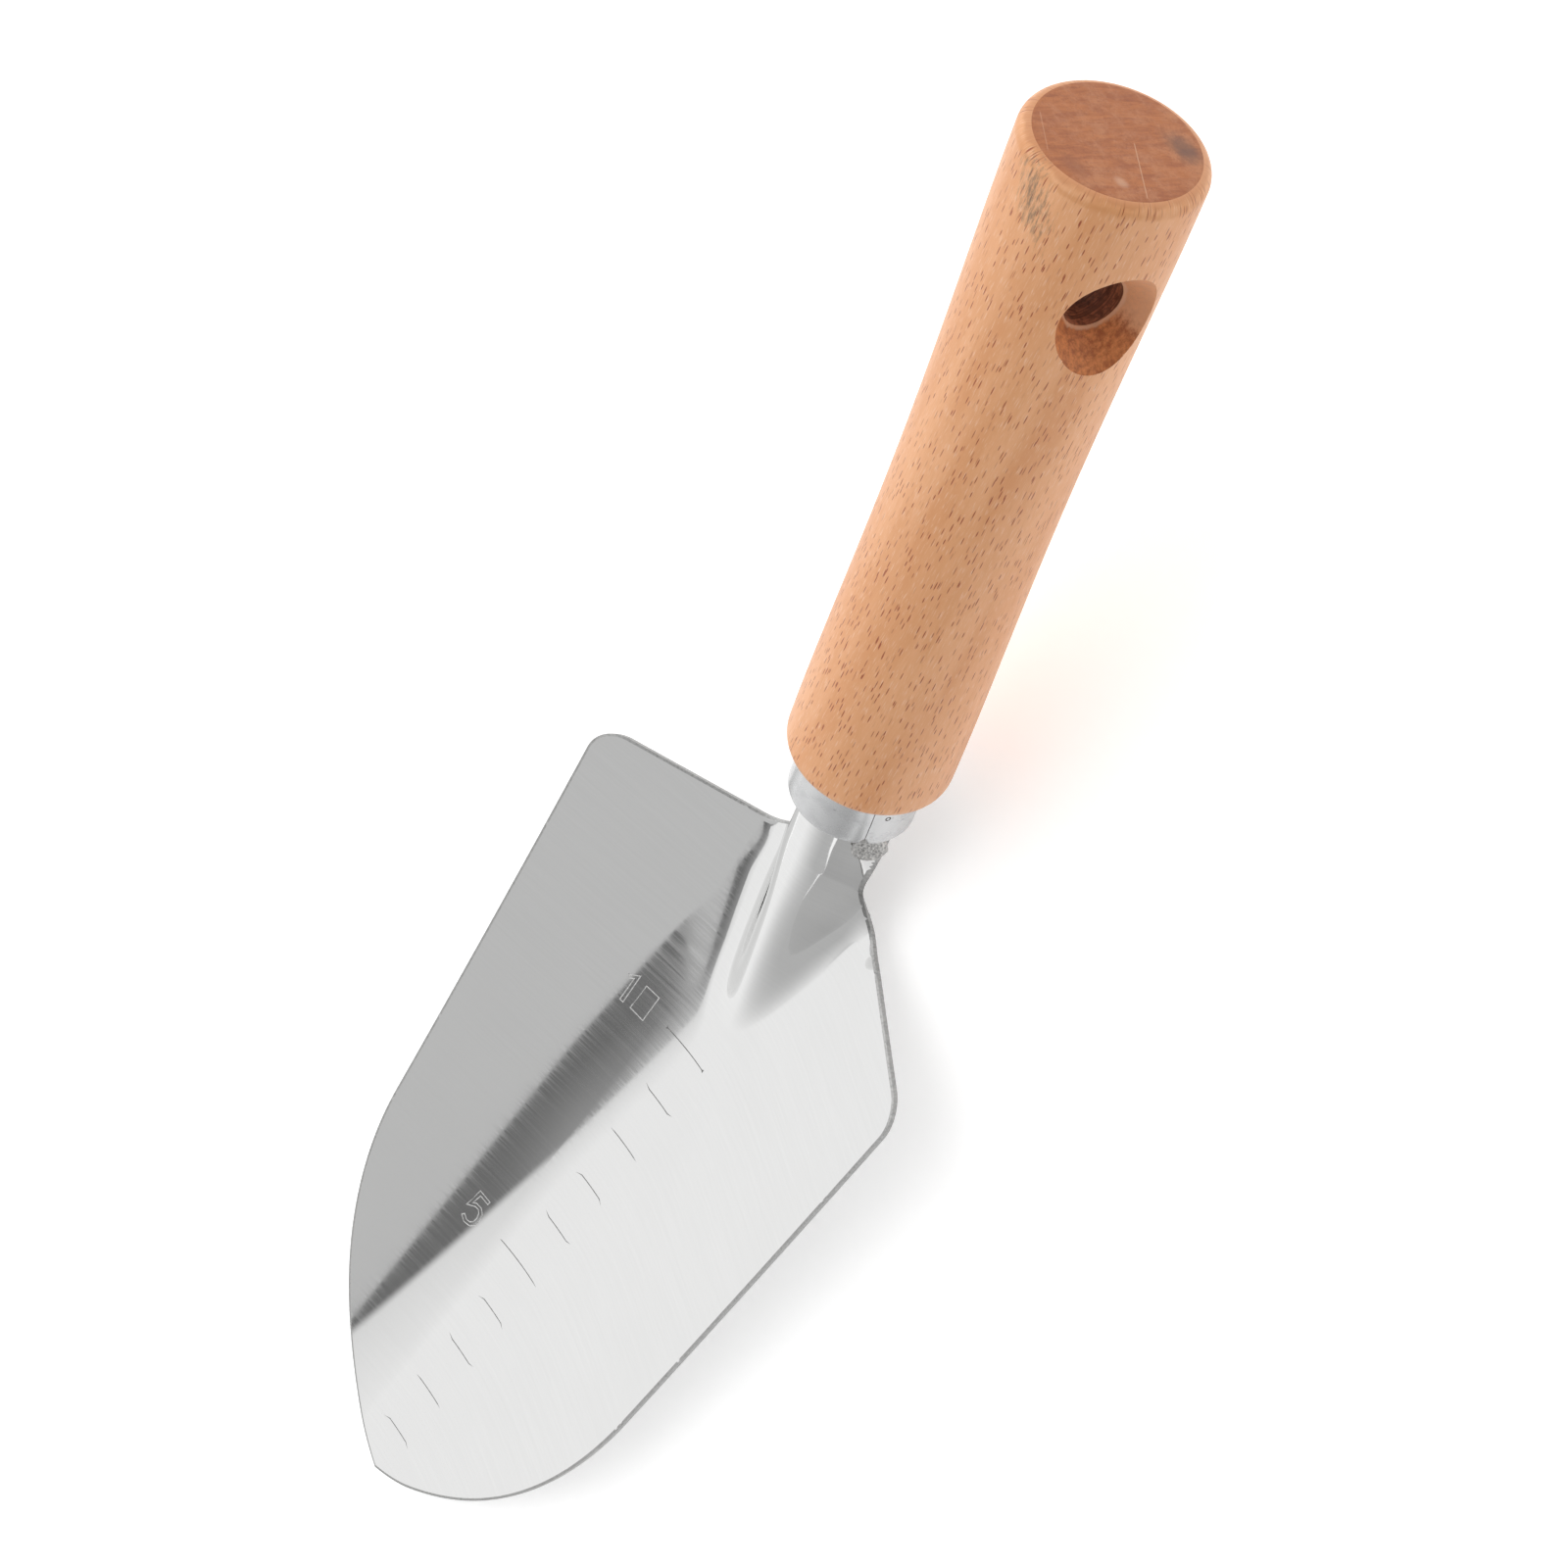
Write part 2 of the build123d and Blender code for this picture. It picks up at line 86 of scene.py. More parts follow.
def place(x, y, z):
    """A modelling-frame point as a part-frame point in metres."""
    return ((x + ORIGIN.x) * MM, (y + ORIGIN.y) * MM, (z + ORIGIN.z) * MM)


def soft_ramp(value, softness):
    """0 well below zero, the value itself well above it, smooth between."""
    return softness * np.logaddexp(0.0, value / softness)


def s_curve(value, start, end):
    """0 before start, 1 after end, smooth between."""
    t = np.clip((value - start) / (end - start), 0.0, 1.0)
    return t * t * (3.0 - 2.0 * t)


def valley(x, y):
    """Round valley, a gentle bend beside it and flat wings."""
    radius = VALLEY_R - VALLEY_FALL * y
    root = np.radians(VALLEY_TILT + TILT_GAIN * y)
    start, final = np.tan(root), np.tan(np.radians(WING_TILT + TILT_GAIN * y))
    edge = radius * np.sin(root)
    inner = np.minimum(np.abs(x), edge)
    bend = np.minimum(np.abs(x), WING_X) - inner
    slope = start + (final - start) * bend / (WING_X - edge)
    arc_height = radius - np.sqrt(radius ** 2 - inner ** 2)
    return arc_height + bend * (start + slope) / 2.0 + np.maximum(np.abs(x) - WING_X, 0.0) * final


def surface(x, y):
    """Height of the sheet's upper face: the dished blade, its rib and the neck."""
    crest = soft_ramp(RIB_SLOPE * (y - RIB_START), RIB_SOFTNESS)
    neck = s_curve(y, FLAT_START, FLAT_END)
    lift = soft_ramp(RIB_SLOPE * (y - LIFT_START), LIFT_SOFTNESS)
    base = lift * (1.0 - s_curve(np.abs(x), LIFT_NEAR, LIFT_FAR)) - SKIRT_DROP * neck
    power = RIB_POWER + (NECK_POWER - RIB_POWER) * s_curve(y, CROWN_START, CROWN_END)
    half = np.minimum(RIB_HALF + RIB_GAIN * np.maximum(y - RIB_ROOT, 0.0), RIB_MAX)
    ridge = np.exp(-math.log(2.0) * (np.abs(x) / half) ** power)
    fold = CREASE_X + CREASE_LEAN * np.maximum(CREASE_Y - y, 0.0)
    crease = CREASE_STEEP * soft_ramp(np.abs(x) - fold, CREASE_SOFTNESS)
    crease *= s_curve(y, CREASE_START, CREASE_END)
    return valley(x, y) * (1.0 - neck) + base + (crest - base) * ridge - crease


def surface_normal(x, y):
    """Unit normals of the upper face."""
    step = 0.02
    slope_x = (surface(x + step, y) - surface(x - step, y)) / (2.0 * step)
    slope_y = (surface(x, y + step) - surface(x, y - step)) / (2.0 * step)
    normal = np.stack([-slope_x, -slope_y, np.ones_like(x)], axis=1)
    return normal / np.linalg.norm(normal, axis=1)[:, None]


# ---- outline of the blade
def arc(start, heading, radius, turn, pieces):
    """Points of an arc that turns left by `turn` degrees, without its first point, and its end heading."""
    centre = np.array(start) + radius * np.array([-math.sin(heading), math.cos(heading)])
    angles = heading - math.pi / 2.0 + np.radians(turn) * np.arange(1, pieces + 1) / pieces
    points = centre + radius * np.stack([np.cos(angles), np.sin(angles)], axis=1)
    return [tuple(p) for p in points], heading + math.radians(turn)


def round_corner(before, corner, after, radius, pieces):
    """Points of a fillet between two straight lines that meet in a corner."""
    a = (Vector(before) - Vector(corner)).normalized()
    b = (Vector(after) - Vector(corner)).normalized()
    half = a.angle(b) / 2.0
    start = Vector(corner) + a * (radius / math.tan(half))
    end = Vector(corner) + b * (radius / math.tan(half))
    centre = Vector(corner) + (a + b).normalized() * (radius / math.sin(half))
    points = []
    for i in range(pieces + 1):
        spoke = (start - centre).lerp(end - centre, i / pieces).normalized()
        points.append(tuple(centre + spoke * radius))
    return points


def subdivide(points, spacing):
    """The same path with no piece longer than the spacing."""
    path = [points[0]]
    for a, b in zip(points[:-1], points[1:]):
        pieces = max(1, math.ceil((Vector(b) - Vector(a)).length / spacing))
        path += [tuple(Vector(a).lerp(Vector(b), i / pieces)) for i in range(1, pieces + 1)]
    return path


def neck_edge_y(x):
    """Y at which the neck reaches its end plane inside the ferrule."""
    low, high = NECK_LOW, NECK_TOP
    for _ in range(30):
        middle = (low + high) / 2.0
        height = float(surface(np.array([x]), np.array([middle]))[0])
        along = (middle - RIM.y) * math.cos(CRANK) + (height - RIM.z) * math.sin(CRANK)
        low, high = (middle, high) if along < NECK_END else (low, middle)
    return low


def half_outline():
    """Right half of the outline, from the point to the middle of the neck's end."""
    heading = math.radians(NOSE_SLOPE)
    nose, heading = arc((0.0, 0.0), heading, NOSE_R, NOSE_ARC, NOSE_PIECES)
    cheek, heading = arc(nose[-1], heading, CHEEK_R, CHEEK_ARC, CHEEK_PIECES)
    corner = Vector(cheek[-1]) + Vector((math.cos(heading), math.sin(heading))) * SIDE_LENGTH
    throat = (NECK_HALF, corner.y + (corner.x - NECK_HALF) * math.tan(math.radians(SHOULDER_SLOPE)))
    neck = (NECK_HALF, neck_edge_y(NECK_HALF))
    path = [(0.0, 0.0)] + nose + cheek
    path += round_corner(cheek[-1], tuple(corner), throat, SHOULDER_R, CORNER_PIECES)
    path += round_corner(tuple(corner), throat, neck, THROAT_R, THROAT_PIECES)
    path.append(neck)
    across = (8.1, 7.7, 7.2, 6.7, 6.2, 5.8, 5.2, 4.5, 3.5, 2.5, 1.3, 0.0)
    return path, [(x, neck_edge_y(x)) for x in across]


def outline():
    """The closed outline, anticlockwise from the point."""
    side, end = half_outline()
    right = subdivide(side, RIM_SPACING) + end
    left = [(-x, y) for x, y in reversed(right[1:-1])]
    return right + left


def inset(loop, distance):
    """The loop moved inwards."""
    points = np.array(loop)
    before = points - np.roll(points, 1, axis=0)
    after = np.roll(points, -1, axis=0) - points
    normals = []
    for piece in (before, after):
        unit = piece / np.linalg.norm(piece, axis=1)[:, None]
        normals.append(np.stack([-unit[:, 1], unit[:, 0]], axis=1))
    bisector = normals[0] + normals[1]
    bisector /= np.linalg.norm(bisector, axis=1)[:, None]
    reach = distance / np.maximum((bisector * normals[0]).sum(axis=1), 0.4)
    return [tuple(p) for p in points + bisector * reach[:, None]]


# ---- stamped scale
GROOVE_WIDTH, GROOVE_DEPTH = 0.18, 0.10
MARK_Y, MARK_STEP, MARK_COUNT = 8.54, 10.0, 10
MARK_RIGHT, MARK_LEFT, MARK_LEFT_LONG = 1.85, -3.25, -7.0
FIVE = [(-12.45, 51.56), (-14.47, 51.78), (-14.87, 48.90), (-13.93, 49.56), (-13.05, 49.55),
        (-12.47, 48.99), (-12.20, 47.90), (-12.35, 46.80), (-12.90, 46.10), (-13.80, 45.95), (-14.70, 46.57)]
ONE = [(-16.48, 100.48), (-15.36, 101.30), (-15.20, 96.25)]
ZERO = [(-13.52, 101.31), (-10.93, 101.29), (-10.83, 96.28), (-13.53, 96.41)]
STROKE, MARK_SPACING = 0.62, 0.6
NUMERAL_SIDE = -9.0  # every numeral is to the left of this, every mark to its right


def offset_path(path, distance):
    """An open path moved to its left, mitred at its bends."""
    points = [Vector(p) for p in path]
    moved = []
    for i, point in enumerate(points):
        a = (point - points[i - 1]).normalized() if i > 0 else None
        b = (points[i + 1] - point).normalized() if i < len(points) - 1 else None
        a, b = a or b, b or a
        left = Vector((-(a + b).y, (a + b).x)).normalized()
        share = max(left.dot(Vector((-a.y, a.x))), 0.5)
        moved.append(tuple(point + left * (distance / share)))
    return moved


def stroke_loop(path):
    """The closed line around a stroke of the numeral's breadth."""
    return offset_path(path, STROKE / 2.0) + list(reversed(offset_path(path, -STROKE / 2.0)))


def groove_paths():
    """Every stamped line, as (points, closed)."""
    paths = []
    for number in range(1, MARK_COUNT + 1):
        left = MARK_LEFT_LONG if number % 5 == 0 else MARK_LEFT
        y = MARK_Y + MARK_STEP * (number - 1)
        paths.append((subdivide([(left, y), (MARK_RIGHT, y)], MARK_SPACING), False))
    paths.append((stroke_loop(FIVE), True))
    paths.append((stroke_loop(ONE), True))
    paths.append((ZERO, True))
    return paths


def groove_lines(path, closed):
    """Left lip, bottom and right lip of a groove along a path."""
    ring = [path[-1]] + path + [path[0]] if closed else path
    left, right = (offset_path(ring, side * GROOVE_WIDTH / 2.0) for side in (1, -1))
    return (left[1:-1], path, right[1:-1]) if closed else (left, path, right)


# ---- the blade's mesh
EDGE_INSET, EDGE_DROP = 0.42, 0.15
GRID, FINE_GRID, FOLD_GRID = 1.5, 0.55, 0.15
WIDE_HALF, WIDE_END = 40.5, 141.0  # how far out and back the wide grid goes
FINE_HALF, FINE_START = 19.0, 98.0  # the fine grid fills the middle from here back
SEED_GAP = 0.3  # a seed point is at least this far from every line
SQUARE_X, UPRIGHT_X = 9.0, 14.0  # the thickness turns from square to upright between these
SKIN, EDGE, MARK, NUMERAL = range(4)  # the blade's materials


def seed_points():
    """Points that fill the sheet: wide apart on the wings, close together on the rib and neck."""
    columns = np.arange(-WIDE_HALF, WIDE_HALF + 0.5, GRID)
    wings = [(x, y) for y in np.arange(0.5, WIDE_END, GRID) for x in columns
             if y < FINE_START or abs(x) > FINE_HALF]
    spans = ((0.0, 5.4, FINE_GRID), (5.5, NECK_HALF, FOLD_GRID), (8.6, FINE_HALF, FINE_GRID))
    right = np.concatenate([np.arange(*span) for span in spans])
    both = np.concatenate([-right[:0:-1], right])
    rib = [(x, y) for y in np.arange(FINE_START + 0.2, 160.0, FINE_GRID * 1.3) for x in both]
    return wings + rib


def blade_plan():
    """Triangles of the sheet in plan: points, triangles, and what each point is."""
    points, edges, kinds = [], [], []

    def add_line(line, kind, closed):
        first = len(points)
        points.extend(line)
        kinds.extend([kind] * len(line))
        count = len(line) if closed else len(line) - 1
        edges.extend((first + i, first + (i + 1) % len(line)) for i in range(count))

    rim = outline()
    add_line(rim, "rim", True)
    add_line(inset(rim, EDGE_INSET), "skin", True)
    for path, closed in groove_paths():
        left, bottom, right = groove_lines(path, closed)
        add_line(left, "skin", closed)
        add_line(bottom, "groove", closed)
        add_line(right, "skin", closed)
        if not closed:
            first = len(points) - len(right)
            ends = (first - 2 * len(bottom), first - len(bottom), first)
            edges.extend([(ends[0], ends[1]), (ends[1], ends[2])])
    tree = kdtree.KDTree(len(points))
    for i, point in enumerate(points):
        tree.insert((point[0], point[1], 0.0), i)
    tree.balance()
    for point in seed_points():
        if tree.find((point[0], point[1], 0.0))[2] > SEED_GAP and inside_outline(point, rim):
            points.append(point)
            kinds.append("skin")
    result = delaunay_2d_cdt([Vector(p) for p in points], edges, [list(range(len(rim)))], 1, 1e-6)
    plan = np.array([tuple(v) for v in result[0]])
    origin = [ids[0] if ids else -1 for ids in result[3]]
    kind = ["skin" if i < 0 else kinds[i] for i in origin]
    return plan, [tuple(f) for f in result[2]], kind


def inside_outline(point, rim):
    """Whether a plan point is inside the symmetric outline, by the crossing rule."""
    x, y = point
    crossings = 0
    for (x0, y0), (x1, y1) in zip(rim, rim[1:] + rim[:1]):
        if (y0 > y) != (y1 > y) and x < x0 + (y - y0) * (x1 - x0) / (y1 - y0):
            crossings += 1
    return crossings % 2 == 1


def new_object(name, points, faces, materials, slots=None):
    """A mesh object from part-frame points in metres."""
    mesh = bpy.data.meshes.new(name)
    mesh.from_pydata(points, [], faces)
    for material in materials:
        mesh.materials.append(material)
    if slots is not None:
        mesh.polygons.foreach_set("material_index", slots)
    mesh.polygons.foreach_set("use_smooth", [True] * len(faces))
    mesh.update()
    shape = bpy.data.objects.new(name, mesh)
    bpy.context.scene.collection.objects.link(shape)
    return shape


def flat_normal(points, face):
    """Unit normal of a face."""
    a, b, c = (np.array(points[i]) for i in face[:3])
    normal = np.cross(b - a, c - a)
    return normal / max(np.linalg.norm(normal), 1e-12)


def under_offset(x, normals):
    """From the upper to the lower face: square to the neck's skin, straight down at the wings."""
    down = np.zeros_like(normals)
    down[:, 2] = -SHEET / normals[:, 2]
    share = s_curve(np.abs(x), SQUARE_X, UPRIGHT_X)[:, None]
    return down * share - normals * SHEET * (1.0 - share)


def build_blade(materials):
    """The pressed sheet as one closed mesh; materials are skin, sheared edge, marks and numerals."""
    plan, triangles, kinds = blade_plan()
    x, y = plan[:, 0], plan[:, 1]
    normals = surface_normal(x, y)
    top = np.stack([x, y, surface(x, y)], axis=1)
    bottom = top + under_offset(x, normals)
    kinds = np.array(kinds)
    top[kinds == "groove"] -= normals[kinds == "groove"] * GROOVE_DEPTH
    top[kinds == "rim", 2] -= EDGE_DROP
    bottom[kinds == "rim", 2] += EDGE_DROP
    count = len(plan)
    faces, corner_normals, slots = [], [], []
    points = np.concatenate([top, bottom])
    borders = {}
    for face in triangles:
        a, b, c = (plan[i] for i in face)
        face = tuple(face if np.cross(b - a, c - a) > 0 else face[::-1])
        under = tuple(i + count for i in reversed(face))
        cut = any(kinds[i] != "skin" for i in face)
        chamfer = any(kinds[i] == "rim" for i in face)
        # numerals take the painted-light copy of the stamped steel, marks the painted-shade copy
        groove = NUMERAL if x[face[0]] < NUMERAL_SIDE else MARK
        under_normals = [-normals[i] for i in reversed(face)]
        faces += [face, under]
        slots += [EDGE if chamfer else groove if cut else SKIN, EDGE if chamfer else SKIN]
        corner_normals += [flat_normal(points, face)] * 3 if cut else [normals[i] for i in face]
        corner_normals += [flat_normal(points, under)] * 3 if chamfer else under_normals
        for a, b in zip(face, face[1:] + face[:1]):
            borders[(a, b)] = borders.get((a, b), 0) + 1
    for a, b in list(borders):
        if (b, a) not in borders:
            wall = (b, a, a + count, b + count)
            faces.append(wall)
            corner_normals += [flat_normal(points, wall)] * 4
            slots.append(EDGE)
    shape = new_object("blade_sheet", [place(*p) for p in points], faces, materials, slots)
    brushing = shape.data.uv_layers.new(name="brushing")
    corners = np.zeros(len(shape.data.loops), np.int32)
    shape.data.loops.foreach_get("vertex_index", corners)
    across = np.stack([points[corners, 1], points[corners, 0]], axis=1) * MM
    brushing.data.foreach_set("uv", across.astype(np.float32).ravel())
    shape.data.normals_split_custom_set([tuple(n) for n in corner_normals])
    return shape


# ---- the handle's frame
def handle_frame():
    """Matrix of the handle's frame: Y along its axis from the ferrule's open rim."""
    return Matrix.Translation(Vector(place(*RIM))) @ Matrix.Rotation(CRANK, 4, "X")


def put_on_handle(shape):
    """Carry a mesh modelled in the handle's frame to its place."""
    shape.data.transform(handle_frame())
    return shape


def ring_mesh(profile, turns):
    """Points and faces of a body of revolution about Y, from (radius, along) in mm."""
    points, faces = [], []
    rows = len(profile)
    for i in range(turns):
        j = (i + 1) % turns
        angle = 2.0 * math.pi * i / turns
        for radius, along in profile:
            points.append((radius * MM * math.cos(angle), along * MM, radius * MM * math.sin(angle)))
        for k in range(rows - 1):
            faces.append((i * rows + k, i * rows + k + 1, j * rows + k + 1, j * rows + k))
    return points, faces


def ring_faces(rings, corners):
    """Faces between rings of points that follow one another."""
    faces = []
    for i in range(rings - 1):
        for k in range(corners):
            n = (k + 1) % corners
            faces.append((i * corners + k, i * corners + n, (i + 1) * corners + n, (i + 1) * corners + k))
    return faces


def tube_faces(rings, corners):
    """The same, with a face over the first ring and the last."""
    last = (rings - 1) * corners
    ends = [tuple(range(corners)), tuple(last + k for k in reversed(range(corners)))]
    return ring_faces(rings, corners) + ends


def weld_and_fix(shape):
    """Join coincident points and make the faces point outwards."""
    work = bmesh.new()
    work.from_mesh(shape.data)
    bmesh.ops.remove_doubles(work, verts=work.verts, dist=1e-7)
    bmesh.ops.dissolve_degenerate(work, edges=work.edges, dist=1e-8)
    bmesh.ops.recalc_face_normals(work, faces=work.faces)
    work.to_mesh(shape.data)
    work.free()
    return shape


def handle_piece(name, points, faces, material, sharp=180.0):
    """A piece modelled in the handle's frame, put in its place; edges over `sharp` degrees stay sharp."""
    shape = weld_and_fix(new_object(name, points, faces, [material]))
    if sharp < 180.0:
        shape.data.set_sharp_from_angle(angle=math.radians(sharp))
    return put_on_handle(shape)


def quarter(centre, radius, start, end, pieces):
    """Points of an arc in the profile, angles in degrees."""
    angles = np.radians(np.linspace(start, end, pieces + 1))
    return [(centre[0] + radius * math.cos(a), centre[1] + radius * math.sin(a)) for a in angles]


# ---- the wooden handle
WOOD_FRONT, WOOD_END = 8.2, 125.2
SPIGOT_START, SPIGOT_R = 3.3, 8.9
FRONT_ROUND, BUTT_ROUND, BUTT_R = 2.9, 1.9, 12.9
WOOD_RADII = [(11.1, 12.6), (35.0, 12.4), (66.0, 12.04), (98.0, 12.48), (123.3, 12.9)]
HANG_S, HANG_R, HANG_BORE_HALF, HANG_FLARE = 104.9, 4.1, 7.2, 0.80
HANG_TURN = math.radians(10.5)  # its right mouth is turned up by this
HANG_REACH, HANG_EASE = 15.0, 0.5  # half length of what cuts it, and how its corner is eased
HOLE_ZONE, HOLE_ZONE_R = 12.0, 11.5  # faces of the hole lie within these
WOOD_TURNS, HOLE_TURNS = 256, 128
SIDE, BUTT, FLARE, BORE = range(4)  # the handle's materials


def wood_radius(along):
    """Radius of the turned wood, smooth through its measured places."""
    places = np.array(WOOD_RADII)
    fit = np.polyfit(places[:, 0], places[:, 1], 4)
    return float(np.polyval(fit, along))


def wood_profile():
    """Half section of the wood, from the middle of its front to the middle of its butt."""
    path = [(0.0, SPIGOT_START), (SPIGOT_R, SPIGOT_START), (SPIGOT_R, WOOD_FRONT), (FERRULE_R, WOOD_FRONT)]
    path += quarter((FERRULE_R, WOOD_FRONT + FRONT_ROUND), FRONT_ROUND, -90, 0, 12)[1:]
    path += [(wood_radius(s), s) for s in np.arange(12.4, 123.2, 1.4)]
    path += quarter((BUTT_R - BUTT_ROUND, WOOD_END - BUTT_ROUND), BUTT_ROUND, 0, 90, 10)
    path += [(r, WOOD_END) for r in (9.0, 6.0, 3.0, 0.0)]
    return path


def spool():
    """The shape that the hang hole takes out: a bore with a flare at each end."""
    flare_rows = (HANG_REACH, 13.0, 11.5, 10.0, 9.0, 8.2)
    half = [(0.0, HANG_REACH)]
    half += [(HANG_R + HANG_FLARE * (s - HANG_BORE_HALF), s) for s in flare_rows]
    half += [(HANG_R + 0.12, HANG_BORE_HALF + HANG_EASE * 0.4), (HANG_R, HANG_BORE_HALF - HANG_EASE)]
    profile = half + [(HANG_R, s) for s in (4.0, 0.0)] + [(r, -s) for r, s in reversed(half)]
    return ring_mesh(profile, HOLE_TURNS)


def apply_modifiers(shape):
    """Replace an object's mesh by what its modifiers make of it."""
    view = bpy.context.evaluated_depsgraph_get()
    mesh = bpy.data.meshes.new_from_object(shape.evaluated_get(view))
    shape.modifiers.clear()
    shape.data = mesh


def build_handle(materials):
    """Turned wood with the hang hole; materials are side, butt, flare and bore."""
    points, faces = ring_mesh(wood_profile(), WOOD_TURNS)
    shape = weld_and_fix(new_object("handle_wood", points, faces, materials))
    hole_points, hole_faces = spool()
    cutter = weld_and_fix(new_object("hole_cutter", hole_points, hole_faces, [materials[FLARE]]))
    across = Matrix.Rotation(-HANG_TURN, 4, "Y") @ Matrix.Rotation(math.pi / 2.0, 4, "Z")
    cutter.data.transform(Matrix.Translation((0.0, HANG_S * MM, 0.0)) @ across)
    cut = shape.modifiers.new("hang_hole", "BOOLEAN")
    cut.operation, cut.solver, cut.object = "DIFFERENCE", "EXACT", cutter
    bpy.context.view_layer.update()
    apply_modifiers(shape)
    bpy.data.objects.remove(cutter)
    for polygon in shape.data.polygons:
        centre = polygon.center / MM
        from_axis = math.hypot(centre.x, centre.z)
        beside = centre.z * math.cos(HANG_TURN) - centre.x * math.sin(HANG_TURN)
        from_hole = math.hypot(centre.y - HANG_S, beside)
        skin = wood_radius(min(max(centre.y, WOOD_RADII[0][0]), WOOD_RADII[-1][0]))
        in_zone = abs(centre.y - HANG_S) < HOLE_ZONE and from_hole < HOLE_ZONE_R
        polygon.material_index = SIDE
        if centre.y > WOOD_END - 0.05:
            polygon.material_index = BUTT
        elif in_zone and from_axis < skin - 0.08:
            polygon.material_index = BORE if from_hole < HANG_R + 0.06 else FLARE
    shape.data.polygons.foreach_set("use_smooth", [True] * len(shape.data.polygons))
    shape.data.set_sharp_from_angle(angle=math.radians(28.0))
    return put_on_handle(shape)


# ---- the ferrule and its pin
SEAM_ANGLE, SEAM_GAP = math.radians(25.0), 0.12
SEAM_WANDER, SEAM_REACH = 0.05, 1.5  # how rough its edges are, and how far round it the metal is pulled
NOTCH_WIDTH, NOTCH_DEPTH, NOTCH_FADE = 0.55, 1.1, 2.2
RIM_ROUND, END_ROUND = 0.42, 0.3
RIPPLE, RIPPLE_SCALE = 0.02, 0.35
FERRULE_STEPS = 220
PIN_ANGLE, PIN_S, PIN_R, PIN_TURNS = math.radians(11.0), 5.6, 0.5, 40
PIN_LIP = [(0.0, -0.34), (0.12, -0.32), (0.20, -0.10), (0.26, 0.01), (0.36, 0.02), (PIN_R, -0.03)]
PIN_SHANK = [(PIN_R, -0.6), (PIN_R, -4.6), (0.25, -5.4), (0.0, -5.5)]


def build_ferrule(material):
    """Rolled collar with a rough butt seam that opens into a notch at the open rim."""
    outer, inner = FERRULE_R, FERRULE_R - FERRULE_WALL
    profile = [(inner, 0.35)] + quarter((inner + END_ROUND, END_ROUND), END_ROUND, 180, 270, 4)
    profile += quarter((outer - RIM_ROUND, RIM_ROUND), RIM_ROUND, -90, 0, 6)
    profile += [(outer, s) for s in (1.0, 1.6, 2.2, 3.2, 4.4, 5.6, 6.8, 7.7)]
    profile += quarter((outer - END_ROUND, FERRULE_LENGTH - END_ROUND), END_ROUND, 0, 90, 4)
    profile += [(inner, s) for s in (FERRULE_LENGTH, 6.0, 4.0, 2.0)]
    points = []
    for i in range(FERRULE_STEPS + 1):
        share = i / FERRULE_STEPS
        near = min(share, 1.0 - share) * 2.0 * math.pi * FERRULE_R
        seed, way = (7.0, 1.0) if share < 0.5 else (19.0, -1.0)
        for radius, along in profile:
            wander = SEAM_WANDER * noise.noise(Vector((along * 1.3, seed, 0.0)))
            pull = way * (SEAM_GAP / 2.0 + wander) / FERRULE_R * math.exp(-(near / SEAM_REACH) ** 2)
            opening = math.exp(-(near / NOTCH_WIDTH) ** 2) * max(0.0, 1.0 - along / NOTCH_FADE)
            angle = SEAM_ANGLE + 2.0 * math.pi * share + pull
            spot = Vector((radius * math.cos(angle), along, radius * math.sin(angle)))
            reach = (radius + RIPPLE * noise.noise(spot * RIPPLE_SCALE)) * MM
            lifted = (along + NOTCH_DEPTH * opening) * MM
            points.append((reach * math.cos(angle), lifted, reach * math.sin(angle)))
    faces = tube_faces(FERRULE_STEPS + 1, len(profile))
    return handle_piece("ferrule_collar", points, faces, material, sharp=50.0)


def build_pin(material):
    """The punched pin: a small dimple in the ferrule, and its shank in the wood."""
    points, faces = ring_mesh(PIN_LIP + PIN_SHANK, PIN_TURNS)
    shape = weld_and_fix(new_object("ferrule_pin_head", points, faces, [material]))
    outward = Matrix.Rotation(-PIN_ANGLE, 4, "Y") @ Matrix.Rotation(-math.pi / 2.0, 4, "Z")
    on_axis = Matrix.Translation((0.0, PIN_S * MM, 0.0))
    shape.data.transform(on_axis @ outward @ Matrix.Translation((0.0, FERRULE_R * MM, 0.0)))
    shape.data.set_sharp_from_angle(angle=math.radians(60.0))
    return put_on_handle(shape)


# ---- tang and welds
TANG_R, TANG_DEPTH = 3.0, 62.0
TANG_ROUTE = [(TANG_DEPTH, 0.0), (0.2, 0.0), (-8.8, 2.9), (-24.0, 2.9)]
TANG_BEND = 2.0
TANG_TURNS, BEND_PIECES = 40, 8


def tang_path():
    """Middle line of the tang, (along, height), with its two bends rounded."""
    path = [TANG_ROUTE[0]]
    for i in (1, 2):
        before, corner, after = (Vector(TANG_ROUTE[k]) for k in (i - 1, i, i + 1))
        start = corner + (before - corner).normalized() * TANG_BEND
        end = corner + (after - corner).normalized() * TANG_BEND
        for k in range(BEND_PIECES + 1):
            t = k / BEND_PIECES
            path.append(tuple(start.lerp(corner, t).lerp(corner.lerp(end, t), t)))
    return subdivide(path + [TANG_ROUTE[3]], 1.5)


def build_tang(material):
    """Round bar under the neck's crown, with a sawn end."""
    path = [Vector(p) for p in tang_path()]
    points = []
    for i, middle in enumerate(path):
        ahead = path[min(i + 1, len(path) - 1)] - path[max(i - 1, 0)]
        ahead.normalize()
        side = Vector((-ahead.y, ahead.x))
        for k in range(TANG_TURNS):
            angle = 2.0 * math.pi * k / TANG_TURNS
            spot = middle + side * (TANG_R * math.sin(angle))
            points.append((TANG_R * math.cos(angle) * MM, spot.x * MM, spot.y * MM))
    faces = tube_faces(len(path), TANG_TURNS)
    return handle_piece("tang_bar", points, faces, material, sharp=50.0)


